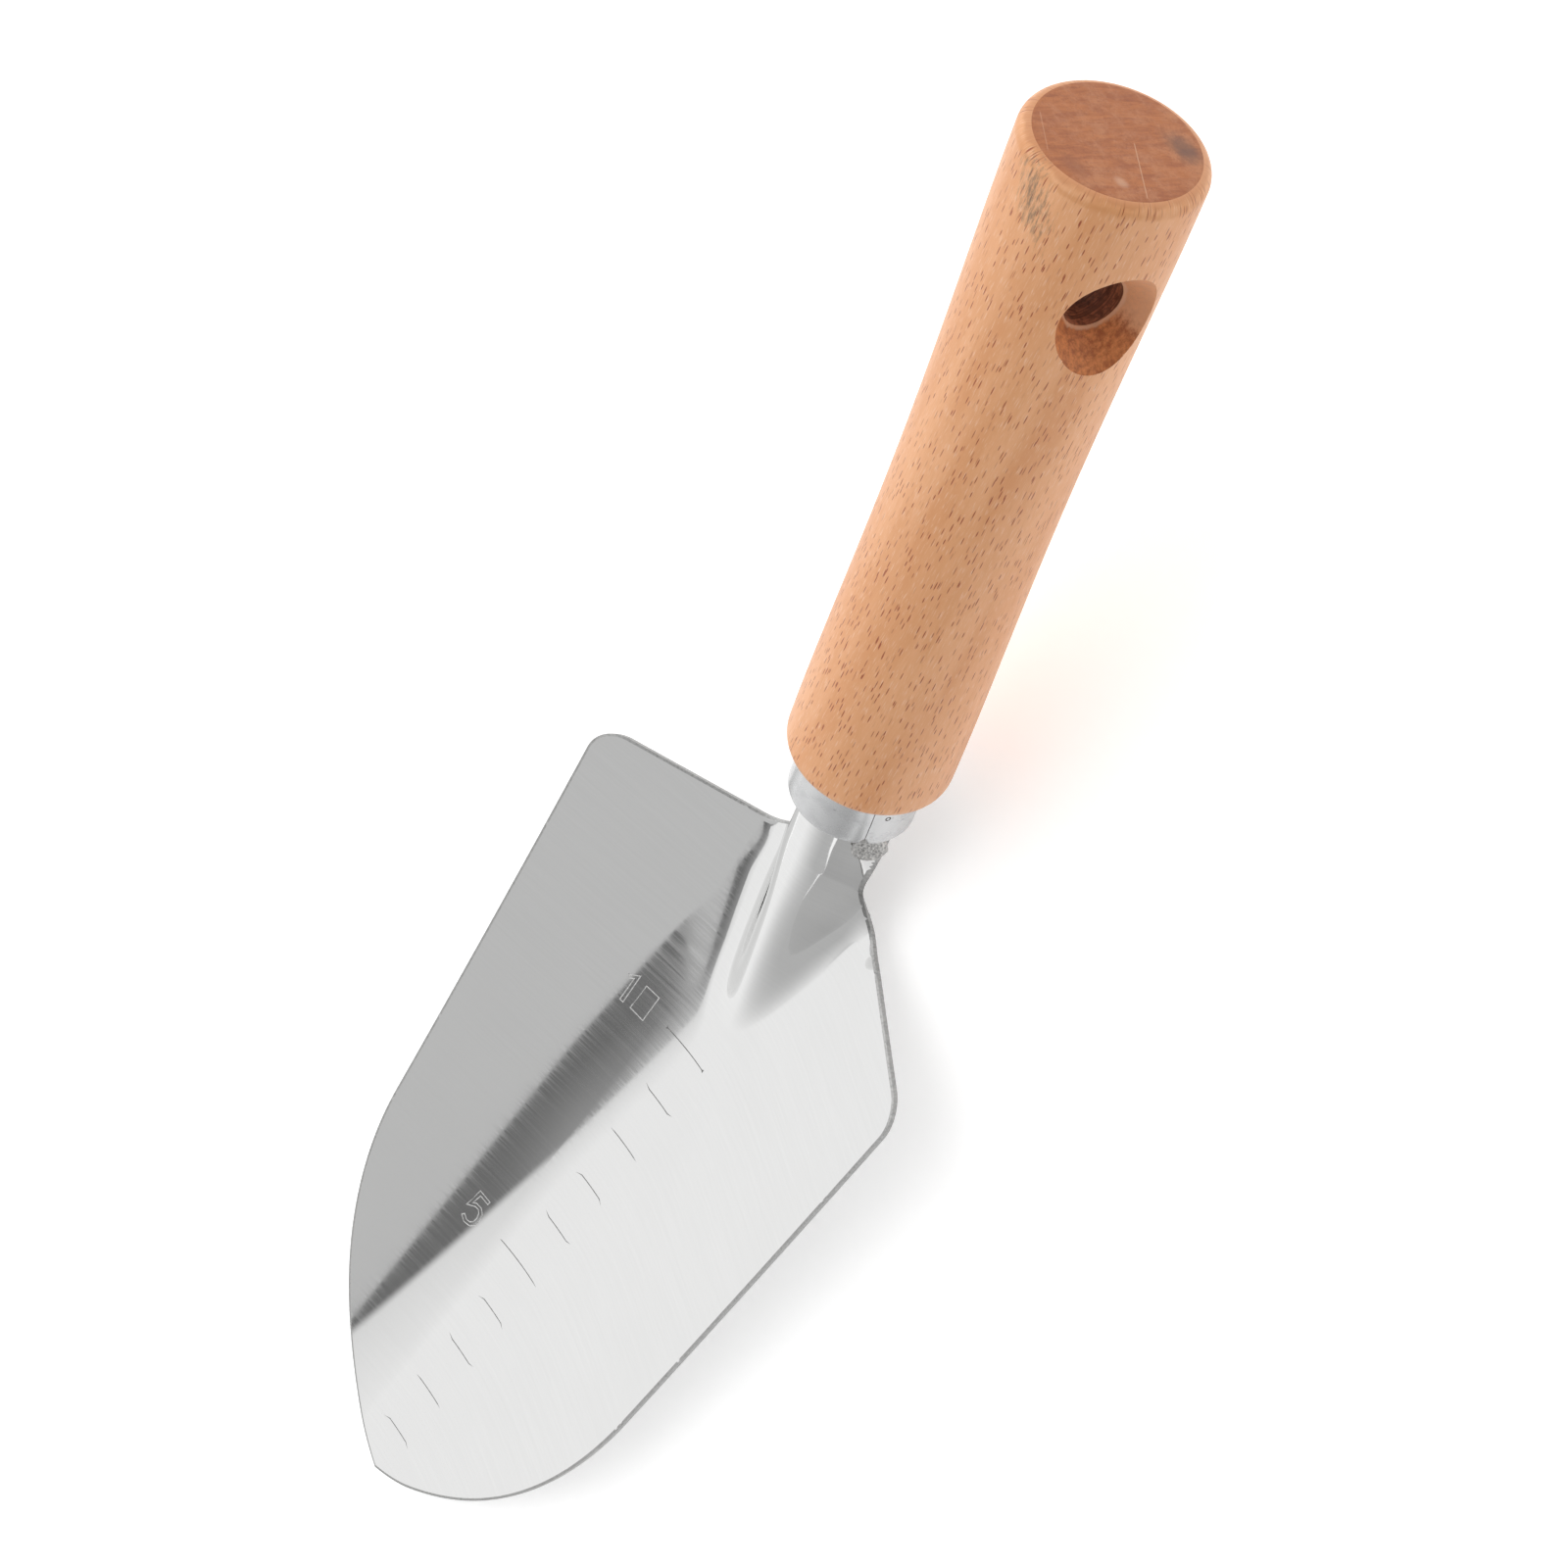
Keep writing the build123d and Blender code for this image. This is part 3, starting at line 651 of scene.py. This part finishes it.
BEAD_START, BEAD_LENGTH = -22.0, 12.0
BEAD_X, BEAD_H, BEAD_R = 2.9, 4.6, 1.0
BEAD_RIPPLES, BEAD_RIPPLE, BEAD_ROUGH = 3.6, 0.10, 0.08
BEAD_TURNS, BEAD_ROWS = 24, 90


def build_bead(name, side, material):
    """A rippled weld bead along one side of the tang, in the handle's frame."""
    points = []
    for i in range(BEAD_ROWS + 1):
        along = BEAD_START + BEAD_LENGTH * i / BEAD_ROWS
        taper = math.sqrt(max(1.0 - (2.0 * i / BEAD_ROWS - 1.0) ** 6, 0.0)) + 0.02
        ripple = BEAD_RIPPLE * abs(math.sin(along * BEAD_RIPPLES))
        rough = BEAD_ROUGH * noise.noise(Vector((along, side, 3.0)))
        radius = BEAD_R * taper * (1.0 + ripple + rough)
        for k in range(BEAD_TURNS):
            angle = 2.0 * math.pi * k / BEAD_TURNS
            out = side * BEAD_X + radius * math.cos(angle)
            points.append((out * MM, along * MM, (BEAD_H + radius * math.sin(angle)) * MM))
    faces = tube_faces(BEAD_ROWS + 1, BEAD_TURNS)
    return handle_piece(name, points, faces, material)


TACK_X, TACK_S, TACK_H = 8.25, -2.6, 1.4
TACK_LEAN = math.radians(26.0)  # the neck's wall leans back by this
TACK_R, TACK_BULGE = 2.6, 0.60
TACK_ROOT = 0.5  # how far it is sunk into the wall
TACK_OUTLINE = 0.16  # how uneven its outline is
TACK_GRAINS = ((2.6, 2.0, 0.22), (6.0, 4.0, 0.10))  # fineness, seed and height of its roughness
TACK_TURNS, TACK_ROWS = 64, 26


def build_tack(name, side, material):
    """A rough tack weld on the neck's leaning wall against the ferrule's open rim."""
    points = []
    for j in range(TACK_ROWS + 1):
        tilt = math.pi / 2.0 * j / TACK_ROWS
        for k in range(TACK_TURNS):
            angle = 2.0 * math.pi * k / TACK_TURNS
            around = Vector((math.cos(angle) * 1.7, math.sin(angle) * 1.7, side * 5.0))
            reach = TACK_R * math.sin(tilt) * (1.0 + TACK_OUTLINE * noise.noise(around))
            along, rise = TACK_S + reach * math.cos(angle), reach * math.sin(angle)
            rough = sum(height * noise.noise(Vector((along * fineness, rise * fineness, seed + side)))
                        for fineness, seed, height in TACK_GRAINS)
            bulge = (TACK_BULGE + rough) * math.sqrt(max(math.cos(tilt), 0.0))
            if j == TACK_ROWS:
                bulge = -TACK_ROOT
            out = TACK_X + bulge * math.cos(TACK_LEAN) - rise * math.sin(TACK_LEAN)
            height = TACK_H + bulge * math.sin(TACK_LEAN) + rise * math.cos(TACK_LEAN)
            points.append((side * out * MM, min(along, -0.02) * MM, height * MM))
    root = tuple(TACK_ROWS * TACK_TURNS + k for k in range(TACK_TURNS))
    faces = ring_faces(TACK_ROWS + 1, TACK_TURNS) + [root]
    return handle_piece(name, points, faces, material)


# ---- shader helpers
class Shader:
    """A node tree with short ways to add and join its nodes."""

    def __init__(self, owner, coordinate="Object"):
        owner.use_nodes = True
        self.owner, self.tree = owner, owner.node_tree
        self.spot = self.tree.nodes.new("ShaderNodeTexCoord").outputs[coordinate]

    def join(self, source, target):
        """Link a socket, or set the value, on an input; a colour gets its alpha."""
        if isinstance(source, bpy.types.NodeSocket):
            self.tree.links.new(source, target)
        else:
            target.default_value = (*source, 1.0) if target.type == "RGBA" else source

    def fill(self, node, inputs):
        """Set or link a node's inputs by name."""
        for name, value in inputs.items():
            self.join(value, node.inputs[name.replace("_", " ")])
        return node

    def node(self, kind, **inputs):
        """A new node with these inputs."""
        return self.fill(self.tree.nodes.new("ShaderNode" + kind), inputs)

    def math(self, operation, a, b=0.0):
        node = self.node("Math")
        node.operation = operation
        self.join(a, node.inputs[0])
        self.join(b, node.inputs[1])
        return node.outputs[0]

    def plus(self, a, b):
        return self.math("ADD", a, b)

    def minus(self, a, b):
        return self.math("SUBTRACT", a, b)

    def times(self, a, b):
        return self.math("MULTIPLY", a, b)

    def mix(self, share, first, second):
        """The first number where share is 0, the second where it is 1."""
        rest = self.minus(1.0, share)
        return self.plus(self.times(first, rest), self.times(second, share))

    def length(self, a, b):
        """Length of a vector with two components."""
        return self.math("SQRT", self.plus(self.times(a, a), self.times(b, b)))

    def turned(self, a, b, angle):
        """Two components as seen from axes that are turned by the angle."""
        cos, sin = math.cos(angle), math.sin(angle)
        first = self.plus(self.times(a, cos), self.times(b, sin))
        second = self.minus(self.times(b, cos), self.times(a, sin))
        return first, second

    def stretch(self, scale, turn=(0.0, 0.0, 0.0), shift=(0.0, 0.0, 0.0), source=None):
        vector = source or self.spot
        return self.node("Mapping", Vector=vector, Scale=scale, Rotation=turn, Location=shift).outputs[0]

    def grain(self, *cell, detail=2.0, roughness=0.5, distortion=0.0, shift=(0.0, 0.0, 0.0), source=None):
        """Noise in cells of one size, or of three along x, y and z, in mm."""
        vector = self.stretch(per_mm(*cell), shift=shift, source=source)
        node = self.node("TexNoise", Vector=vector, Scale=1.0, Detail=detail, Roughness=roughness,
                         Distortion=distortion)
        return node.outputs["Fac"]

    def cells(self, vector, flat=False):
        node = self.node("TexVoronoi", Vector=vector, Scale=1.0)
        node.voronoi_dimensions = "2D" if flat else "3D"
        return node.outputs["Distance"], node.outputs["Color"]

    def remap(self, value, start, end, low=0.0, high=1.0, smooth=True):
        node = self.node("MapRange", Value=value, From_Min=start, From_Max=end, To_Min=low, To_Max=high)
        node.interpolation_type = "SMOOTHSTEP" if smooth else "LINEAR"
        return node.outputs["Result"]

    def blend(self, share, first, second):
        """The first colour where share is 0, the second where it is 1."""
        node = self.node("Mix")
        node.data_type = "RGBA"
        sockets = node.inputs["Factor"], node.inputs[6], node.inputs[7]
        for source, socket in zip((share, first, second), sockets):
            self.join(source, socket)
        return node.outputs[2]

    def parts(self, vector=None):
        return self.node("SeparateXYZ", Vector=vector or self.spot).outputs

    def bump(self, height, depth_mm):
        return self.node("Bump", Strength=1.0, Distance=depth_mm * MM, Height=height).outputs[0]

    def finish(self, **inputs):
        """Set or link the Principled shader's inputs and return the material."""
        self.fill(self.tree.nodes["Principled BSDF"], inputs)
        return self.owner


def material_shader(name, on_handle=False):
    """The shader of a new material; on the handle, its places are in the handle's frame."""
    s = Shader(bpy.data.materials.new(name))
    if on_handle:
        back = handle_frame().inverted().translation
        s.spot = s.stretch((1.0, 1.0, 1.0), turn=(-CRANK, 0.0, 0.0), shift=tuple(back))
    return s


def per_mm(*cells):
    """Texture scale for cells of one size or three, in mm."""
    return tuple(1.0 / (c * MM) for c in (cells if len(cells) == 3 else cells * 3))


# ---- steel
def brushed_steel():
    """Satin stainless steel, brushed across the blade: the scratches only differ in how far they blur."""
    s = material_shader("blade_steel")
    fine = s.grain(11.0, 0.13, 11.0, roughness=0.6)
    coarse = s.grain(22.0, 0.55, 22.0)
    cloud = s.grain(14.0, detail=3.0)
    mixed = s.plus(s.times(fine, 0.6), s.times(coarse, 0.4))
    colour = s.blend(s.remap(mixed, 0.3, 0.7), (0.712, 0.712, 0.708), (0.736, 0.736, 0.732))
    colour = s.blend(s.remap(cloud, 0.35, 0.75, 0.0, 0.12), colour, (0.66, 0.66, 0.655))
    roughness = s.remap(mixed, 0.34, 0.66, 0.02, 0.065)
    tangent = s.node("Tangent")
    tangent.direction_type, tangent.uv_map = "UV_MAP", "brushing"
    return s.finish(Base_Color=colour, Metallic=1.0, Roughness=roughness, Anisotropic=0.75,
                    Tangent=tangent.outputs[0])


def stamped_steel(name, dark, light, metallic, roughness):
    """The bottoms of stamped lines, one stamped steel in two painted copies: the marks in the brightly
    reflecting valley are dull and dark with painted shade, the numerals on the darkly reflecting band pale
    and matt with painted light.
    """
    s = material_shader(name)
    colour = s.blend(s.remap(s.grain(0.5), 0.35, 0.65), dark, light)
    return s.finish(Base_Color=colour, Metallic=metallic, Roughness=roughness)


def cut_edge_steel():
    """The sheared edge: dull, with short marks down the cut."""
    s = material_shader("blade_edge")
    grain = s.grain(0.35, 0.35, 1.5, detail=4.0, roughness=0.7)
    colour = s.blend(s.remap(grain, 0.3, 0.7), (0.26, 0.26, 0.255), (0.40, 0.40, 0.395))
    roughness = s.remap(grain, 0.2, 0.8, 0.24, 0.42)
    return s.finish(Base_Color=colour, Metallic=1.0, Roughness=roughness, Normal=s.bump(grain, 0.01))


def rolled_steel():
    """The ferrule's satin steel: faint turning lines, a few nicks and smudges."""
    s = material_shader("ferrule_steel", on_handle=True)
    lines = s.grain(14.0, 0.22, 14.0)
    smudge = s.grain(3.2, 2.2, 3.2, detail=3.0, roughness=0.6)
    spots, _ = s.cells(s.stretch(per_mm(2.9, 1.8, 2.9)))
    nick = s.remap(spots, 0.06, 0.11, 1.0, 0.0)
    colour = s.blend(s.remap(smudge, 0.40, 0.75), (0.575, 0.578, 0.582), (0.515, 0.518, 0.522))
    colour = s.blend(s.times(nick, 0.45), colour, (0.25, 0.25, 0.25))
    roughness = s.remap(smudge, 0.3, 0.7, 0.22, 0.30)
    height = s.minus(s.times(lines, 0.2), nick)
    return s.finish(Base_Color=colour, Metallic=1.0, Roughness=roughness, Normal=s.bump(height, 0.006))


def plain_steel(name, light, dark, roughness, grain_mm, bump_mm):
    """Unfinished steel with an even grain."""
    s = material_shader(name)
    grain = s.grain(grain_mm, detail=5.0, roughness=0.7)
    colour = s.blend(s.remap(grain, 0.35, 0.68), dark, light)
    rough = s.remap(grain, 0.3, 0.7, roughness - 0.08, roughness + 0.1)
    return s.finish(Base_Color=colour, Metallic=1.0, Roughness=rough, Normal=s.bump(grain, bump_mm))


# ---- beech
GRAIN_LEAN = math.radians(5.0)  # the grain leans to the right of the handle's axis
TAN, TAN_DEEP, TAN_PALE = (0.830, 0.420, 0.205), (0.715, 0.315, 0.125), (0.930, 0.640, 0.440)
FLECK, SMUDGE = (0.300, 0.035, 0.001), (0.20, 0.125, 0.065)
SKIN_R = 12.5  # mean radius at which the flecks are spread, mm
SMUDGE_OVAL = (1.3, 119.8), math.radians(122.0), 4.9, 2.5  # centre, heading and half sizes, mm
RING_START, RING_END, ROUND_START = (0.1238, 0.1244), (0.1246, 0.1250), (0.1251, 0.1256)  # along the wood, m
LIP_IN, LIP_OUT = (0.0041, 0.0043), (0.0044, 0.0047)  # the pale ring round the bore, radii in m
# the flecks' three sets: cell across and along the grain, shift, size and least strength
FLECKS = (((0.95, 9.0), (0.0, 0.0, 0.0), 0.115, 0.35),
          ((0.80, 8.0), (0.37, 0.61, 0.0), 0.110, 0.1),
          ((1.10, 6.6), (0.71, 0.29, 0.0), 0.100, 0.1))


def unrolled(s):
    """The turned side laid flat and turned to the grain: across and along it, in metres."""
    x, y, z = s.parts()
    around = s.times(s.math("ARCTAN2", z, x), SKIN_R * MM)
    across, along = s.turned(around, y, GRAIN_LEAN)
    return s.node("CombineXYZ", X=across, Y=along, Z=0.0).outputs[0]


def flecks(s, flat, cell, shift, size, least):
    """Thin dark flecks, one for each cell, with a random strength."""
    distance, tint = s.cells(s.stretch(per_mm(*cell, 1.0), shift=shift, source=flat), flat=True)
    there = s.remap(distance, size * 0.55, size, 1.0, 0.0)
    return s.times(there, s.remap(s.parts(tint)[0], 0.0, 0.8, least, 1.0))


def beech(name):
    """Turned beech: broad tone bands, fibres and the short dark flecks of its rays."""
    s = material_shader(name, on_handle=True)
    flat = unrolled(s)
    broad = s.grain(6.0, 55.0, 6.0, detail=3.0, roughness=0.55, source=flat)
    fibre = s.grain(0.22, 4.5, 0.22, detail=4.0, roughness=0.65, source=flat)
    glint = s.grain(0.16, 2.2, 0.16, shift=(3.0, 5.0, 1.0), source=flat)
    colour = s.blend(s.remap(broad, 0.32, 0.70), TAN, TAN_DEEP)
    colour = s.blend(s.remap(fibre, 0.42, 0.75, 0.0, 0.42), colour, TAN_DEEP)
    colour = s.blend(s.remap(glint, 0.54, 0.76, 0.0, 0.65), colour, TAN_PALE)
    fleck = flecks(s, flat, *FLECKS[0])
    for more in FLECKS[1:]:
        fleck = s.math("MAXIMUM", fleck, flecks(s, flat, *more))
    colour = s.blend(s.times(fleck, 0.88), colour, FLECK)
    colour = side_wear(s, colour)
    height = s.minus(fibre, s.times(fleck, 0.15))
    rough = s.remap(fibre, 0.3, 0.7, 0.42, 0.55)
    return s.finish(Base_Color=colour, Roughness=rough, Normal=s.bump(height, 0.014), Coat_Weight=0.25,
                    Coat_Roughness=0.35, Specular_IOR_Level=0.4)


def oval(s, centre, heading, half_length, half_width):
    """Distance from a place on the upper side, 1 on an oval that lies along the heading; lengths in mm."""
    x, y, _ = s.parts()
    x = s.minus(x, centre[0] * MM)
    y = s.minus(y, centre[1] * MM)
    run, off = s.turned(x, y, heading)
    return s.length(s.math("DIVIDE", run, half_length * MM), s.math("DIVIDE", off, half_width * MM))


def side_wear(s, colour):
    """The grey smudge near the butt and the deeper tone where the wood rounds over."""
    _, y, z = s.parts()
    grain = s.grain(1.6, detail=3.0)
    edge = s.plus(y, s.times(grain, 0.0011))
    burr = s.times(s.remap(edge, *RING_START), s.remap(edge, *RING_END, 1.0, 0.0))
    burr = s.times(burr, s.remap(grain, 0.35, 0.6, 0.1, 0.5))
    colour = s.blend(burr, colour, (0.66, 0.28, 0.10))
    colour = s.blend(s.remap(edge, *ROUND_START, 0.0, 0.7), colour, (0.60, 0.25, 0.10))
    streaks = s.grain(0.45, 2.6, 0.45, detail=4.0, roughness=0.7)
    spread = oval(s, *SMUDGE_OVAL)
    near = s.remap(s.plus(spread, s.times(streaks, 2.6)), 1.45, 2.75, 1.0, 0.0)
    near = s.times(near, s.remap(z, 0.0, 0.002))
    smudge = s.times(near, s.remap(streaks, 0.60, 0.36, 0.15, 0.85))
    return s.blend(smudge, colour, SMUDGE)


def line_mask(s, start, end, width):
    """1 on a thin straight line between two places of the butt face, in mm."""
    heading = math.atan2(end[1] - start[1], end[0] - start[0])
    length = math.hypot(end[0] - start[0], end[1] - start[1])
    x, _, z = s.parts()
    run, off = s.turned(x, z, heading)
    home_run = (start[0] * math.cos(heading) + start[1] * math.sin(heading)) * MM
    home_off = (start[1] * math.cos(heading) - start[0] * math.sin(heading)) * MM
    aside = s.math("ABSOLUTE", s.minus(off, home_off))
    across = s.remap(aside, width * 0.3 * MM, width * MM, 1.0, 0.0)
    on = s.remap(run, home_run, home_run + 0.5 * MM)
    before = s.remap(run, home_run + (length - 0.5) * MM, home_run + length * MM, 1.0, 0.0)
    return s.times(across, s.times(on, before))


FLAT = 50.0  # a cell this long, in mm, leaves the butt the same along the axis
# stains on the butt: place, half sizes, strength and colour
BUTT_STAINS = (((4.0, -8.0), (4.2, 2.3), 0.62, (0.11, 0.070, 0.055)),
               ((2.4, 8.7), (2.6, 1.6), 0.45, (0.25, 0.075, 0.030)),
               ((6.5, 4.5), (1.3, 0.9), 0.40, (0.74, 0.48, 0.33)))
SCRATCH, FAINT_SCRATCH = ((0.7, -2.1), (10.3, 3.0), 0.12), ((-8.1, 6.7), (-1.3, 10.4), 0.12)


def end_grain():
    """The sawn and lacquered butt: orange-red and mottled, with stains and two scratches."""
    s = material_shader("beech_end_grain", on_handle=True)
    turned = s.stretch((1.0, 1.0, 1.0), turn=(0.0, math.radians(16.5), 0.0))
    band = s.grain(1.1, FLAT, 5.0, detail=5.0, roughness=0.7, distortion=0.6, source=turned)
    mottle = s.grain(2.6, FLAT, 2.0, detail=5.0, roughness=0.7)
    pores = s.grain(0.30, FLAT, 0.22)
    colour = s.blend(s.remap(band, 0.32, 0.68), (0.330, 0.086, 0.019), (0.475, 0.157, 0.046))
    colour = s.blend(s.remap(mottle, 0.42, 0.70, 0.0, 0.6), colour, (0.530, 0.225, 0.100))
    colour = s.blend(s.remap(mottle, 0.28, 0.42, 0.45, 0.0), colour, (0.250, 0.068, 0.021))
    colour = s.blend(s.remap(pores, 0.55, 0.75, 0.0, 0.35), colour, (0.205, 0.060, 0.021))
    for (x, z), (wide, high), share, tone in BUTT_STAINS:
        spot = s.stretch(per_mm(wide, FLAT, high), shift=(-x / wide, 0.0, -z / high))
        x, _, z = s.parts(spot)
        spread = s.plus(s.length(x, z), s.times(mottle, 1.5))
        stain = s.remap(spread, 0.9, 2.0, 1.0, 0.0)
        colour = s.blend(s.times(stain, share), colour, tone)
    lines = s.math("MAXIMUM", line_mask(s, *SCRATCH), s.times(line_mask(s, *FAINT_SCRATCH), 0.5))
    colour = s.blend(s.times(lines, 0.6), colour, (0.66, 0.36, 0.21))
    height = s.minus(s.times(mottle, 0.6), lines)
    return s.finish(Base_Color=colour, Roughness=s.remap(band, 0.3, 0.7, 0.45, 0.58), Coat_Weight=0.05,
                    Coat_Roughness=0.3, Normal=s.bump(height, 0.03))


def hole_wood(name, light, dark, pale, ring_mm):
    """Wood cut across by the drill: torn and deep below, pale above and at the bore."""
    s = material_shader(name, on_handle=True)
    rings = s.grain(ring_mm, 14.0, 14.0, detail=3.0, roughness=0.6)
    torn = s.grain(0.8, 1.2, 0.8, detail=5.0, roughness=0.7)
    x, y, z = s.parts()
    _, beside = s.turned(x, z, HANG_TURN)
    ahead = s.minus(y, HANG_S * MM)
    far = s.length(beside, ahead)
    wander = s.times(s.minus(torn, 0.5), 0.006)
    upwards = s.minus(ahead, s.times(beside, 0.6))
    upper = s.remap(s.plus(upwards, wander), -0.0012, 0.0022)
    mouth = s.remap(s.plus(far, s.times(wander, 0.12)), *LIP_OUT, 0.6, 0.0)
    colour = s.blend(s.remap(torn, 0.34, 0.66), dark, light)
    colour = s.blend(s.remap(rings, 0.45, 0.62, 0.0, 0.35 if pale else 0.85), colour, dark)
    if pale:
        colour = s.blend(s.times(upper, 0.72), colour, pale)
        colour = s.blend(s.times(mouth, s.remap(far, *LIP_IN)), colour, (0.86, 0.52, 0.33))
    height = s.plus(s.times(rings, 0.6), torn)
    rough = s.remap(torn, 0.3, 0.7, 0.5, 0.68)
    return s.finish(Base_Color=colour, Roughness=rough, Normal=s.bump(height, 0.07))


# ---- studio
BRIGHT, TENT_EDGE, WALL = 1.10, 0.93, 0.66
GAP, GAP_PALE = 0.195, 0.60  # the dark gap, and where it pales towards the tent
GAP_LEFT, GAP_BEND, GAP_WIDENING, GAP_WIDEST = -0.013, -0.543, 3.6, 0.24
WALL_LINES = ((2.1, 1.285), (1.44, 0.925), (-18.0, -9.03))  # the wall's edge: x = slope * y + offset
OVERHEAD_LEFT, OVERHEAD_RIGHT = 1.65, 0.25
BEHIND = 0.65  # share of that light that comes from behind the butt
FRONT_LEFT, FRONT_RIGHT = 1.12, 0.58
# spans of the light's x, towards the right, and y, towards the handle, that each change runs over
WALL_BLUR, GAP_BLUR = 0.004, 0.010
PALING, GAP_MOUTH, TENT_FALL = (-0.14, 0.10), (-0.570, -0.535), (-0.16, -0.01)
FRONT_SPAN, FRONT_EDGE = (-0.40, 0.50), (-0.72, -0.61)
OVERHEAD_SPAN, OVERHEAD_EDGE, BEHIND_SPAN = (-0.3, 0.7), (-0.44, -0.34), (0.2, 0.8)


def studio_light():
    """A soft white studio: a bright tent, a dark gap beside it and a paler wall on the right."""
    world = bpy.data.worlds.new("studio")
    bpy.context.scene.world = world
    s = Shader(world, "Generated")
    x, y, _ = s.parts()
    lines = [s.plus(s.times(y, slope), offset) for slope, offset in WALL_LINES]
    wall_line = s.math("MINIMUM", s.math("MINIMUM", lines[0], lines[1]), lines[2])
    on_wall = s.remap(s.minus(x, wall_line), -WALL_BLUR, WALL_BLUR)
    retreat = s.times(s.math("MAXIMUM", s.minus(y, GAP_BEND), 0.0), GAP_WIDENING)
    into_gap = s.plus(s.minus(x, GAP_LEFT), s.math("MINIMUM", retreat, GAP_WIDEST))
    in_gap = s.remap(into_gap, -GAP_BLUR, GAP_BLUR)
    fall = s.remap(x, *PALING, 1.0, 0.0, smooth=False)
    gap = s.mix(s.times(fall, s.remap(y, *GAP_MOUTH)), GAP, GAP_PALE)
    tent = s.remap(into_gap, *TENT_FALL, BRIGHT, TENT_EDGE, smooth=False)
    high = s.mix(on_wall, s.mix(in_gap, tent, gap), WALL)
    low = s.remap(x, *FRONT_SPAN, FRONT_LEFT, FRONT_RIGHT, smooth=False)
    level = s.mix(s.remap(y, *FRONT_EDGE, 1.0, 0.0), high, low)
    overhead = s.remap(x, *OVERHEAD_SPAN, OVERHEAD_LEFT, OVERHEAD_RIGHT, smooth=False)
    overhead = s.times(overhead, s.remap(y, *BEHIND_SPAN, 1.0, BEHIND))
    level = s.mix(s.remap(y, *OVERHEAD_EDGE), level, overhead)
    background = s.tree.nodes["Background"]
    background.inputs["Color"].default_value = (1.0, 1.0, 1.0, 1.0)
    s.join(level, background.inputs["Strength"])


CAMERA_AT = (0.27524, 0.29211, 0.49920)
CAMERA_TARGET = (-0.00675, 0.01392, 0.02000)
CAMERA_UP = (-0.70673, 0.70747, 0.00516)
CAMERA_LENS = 97.67  # mm, on a sensor 36 mm wide
FLOOR_SIZE = 3.0


def floor_material():
    """Pale, even, matt paper."""
    s = material_shader("floor_paper")
    grain = s.grain(1.5, detail=3.0)
    colour = s.blend(s.remap(grain, 0.3, 0.7), (0.90, 0.90, 0.90), (0.93, 0.93, 0.93))
    return s.finish(Base_Color=colour, Roughness=0.9, Emission_Color=(1.0, 1.0, 1.0), Emission_Strength=0.38)


def build_floor():
    """The pale floor that the trowel lies on."""
    side = FLOOR_SIZE / 2.0
    corners = [(-side, -side, 0.0), (side, -side, 0.0), (side, side, 0.0), (-side, side, 0.0)]
    new_object("floor", corners, [(0, 1, 2, 3)], [floor_material()])


def build_camera():
    """The camera, looking down along the trowel from behind its right side."""
    data = bpy.data.cameras.new("camera")
    data.lens, data.sensor_width = CAMERA_LENS, 36.0
    data.clip_start, data.clip_end = 0.01, 20.0
    camera = bpy.data.objects.new("camera", data)
    bpy.context.scene.collection.objects.link(camera)
    back = (Vector(CAMERA_AT) - Vector(CAMERA_TARGET)).normalized()
    right = Vector(CAMERA_UP).cross(back).normalized()
    up = back.cross(right)
    turn = Matrix((right, up, back)).transposed().to_4x4()
    camera.matrix_world = Matrix.Translation(CAMERA_AT) @ turn
    bpy.context.scene.camera = camera


# ---- the whole trowel
def add(shape, node):
    """Ride on the part's one body and stand for a CAD node, which is hidden."""
    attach(shape, "root")
    if node:
        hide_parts(node)


def main():
    """Build the pieces and the studio."""
    wood = [beech("beech_side"), end_grain(),
            hole_wood("beech_flare", (0.70, 0.25, 0.078), (0.36, 0.096, 0.021), (0.84, 0.44, 0.24), 0.8),
            hole_wood("beech_bore", (0.54, 0.21, 0.110), (0.16, 0.055, 0.026), None, 0.4)]
    weld = plain_steel("weld_metal", (0.74, 0.73, 0.71), (0.34, 0.335, 0.33), 0.45, 0.35, 0.05)
    blade = [brushed_steel(), cut_edge_steel(),
             # one stamped steel: the marks' dark colour is painted shade, the numerals' pale colour painted
             # light
             stamped_steel("blade_mark_painted_shade", (0.26, 0.26, 0.258), (0.36, 0.36, 0.358), 1.0, 0.42),
             stamped_steel("blade_numeral_painted_light", (0.66, 0.66, 0.655), (0.80, 0.80, 0.795), 0.2, 0.5)]
    add(build_blade(blade), "blade")
    add(build_handle(wood), "handle")
    add(build_ferrule(rolled_steel()), "ferrule")
    add(build_pin(plain_steel("pin_steel", (0.14, 0.14, 0.138), (0.05, 0.05, 0.049), 0.5, 0.6, 0.01)),
        "ferrule_pin")
    add(build_tang(plain_steel("tang_steel", (0.50, 0.49, 0.48), (0.36, 0.35, 0.34), 0.4, 1.2, 0.012)),
        "tang")
    add(build_bead("tang_bead_right", 1, weld), "tang_weld")
    add(build_bead("tang_bead_left", -1, weld), None)
    add(build_tack("neck_tack_right", 1, weld), "neck_tacks")
    add(build_tack("neck_tack_left", -1, weld), None)
    studio_light()
    build_floor()
    build_camera()
    bpy.context.scene.view_settings.view_transform = "Standard"


main()
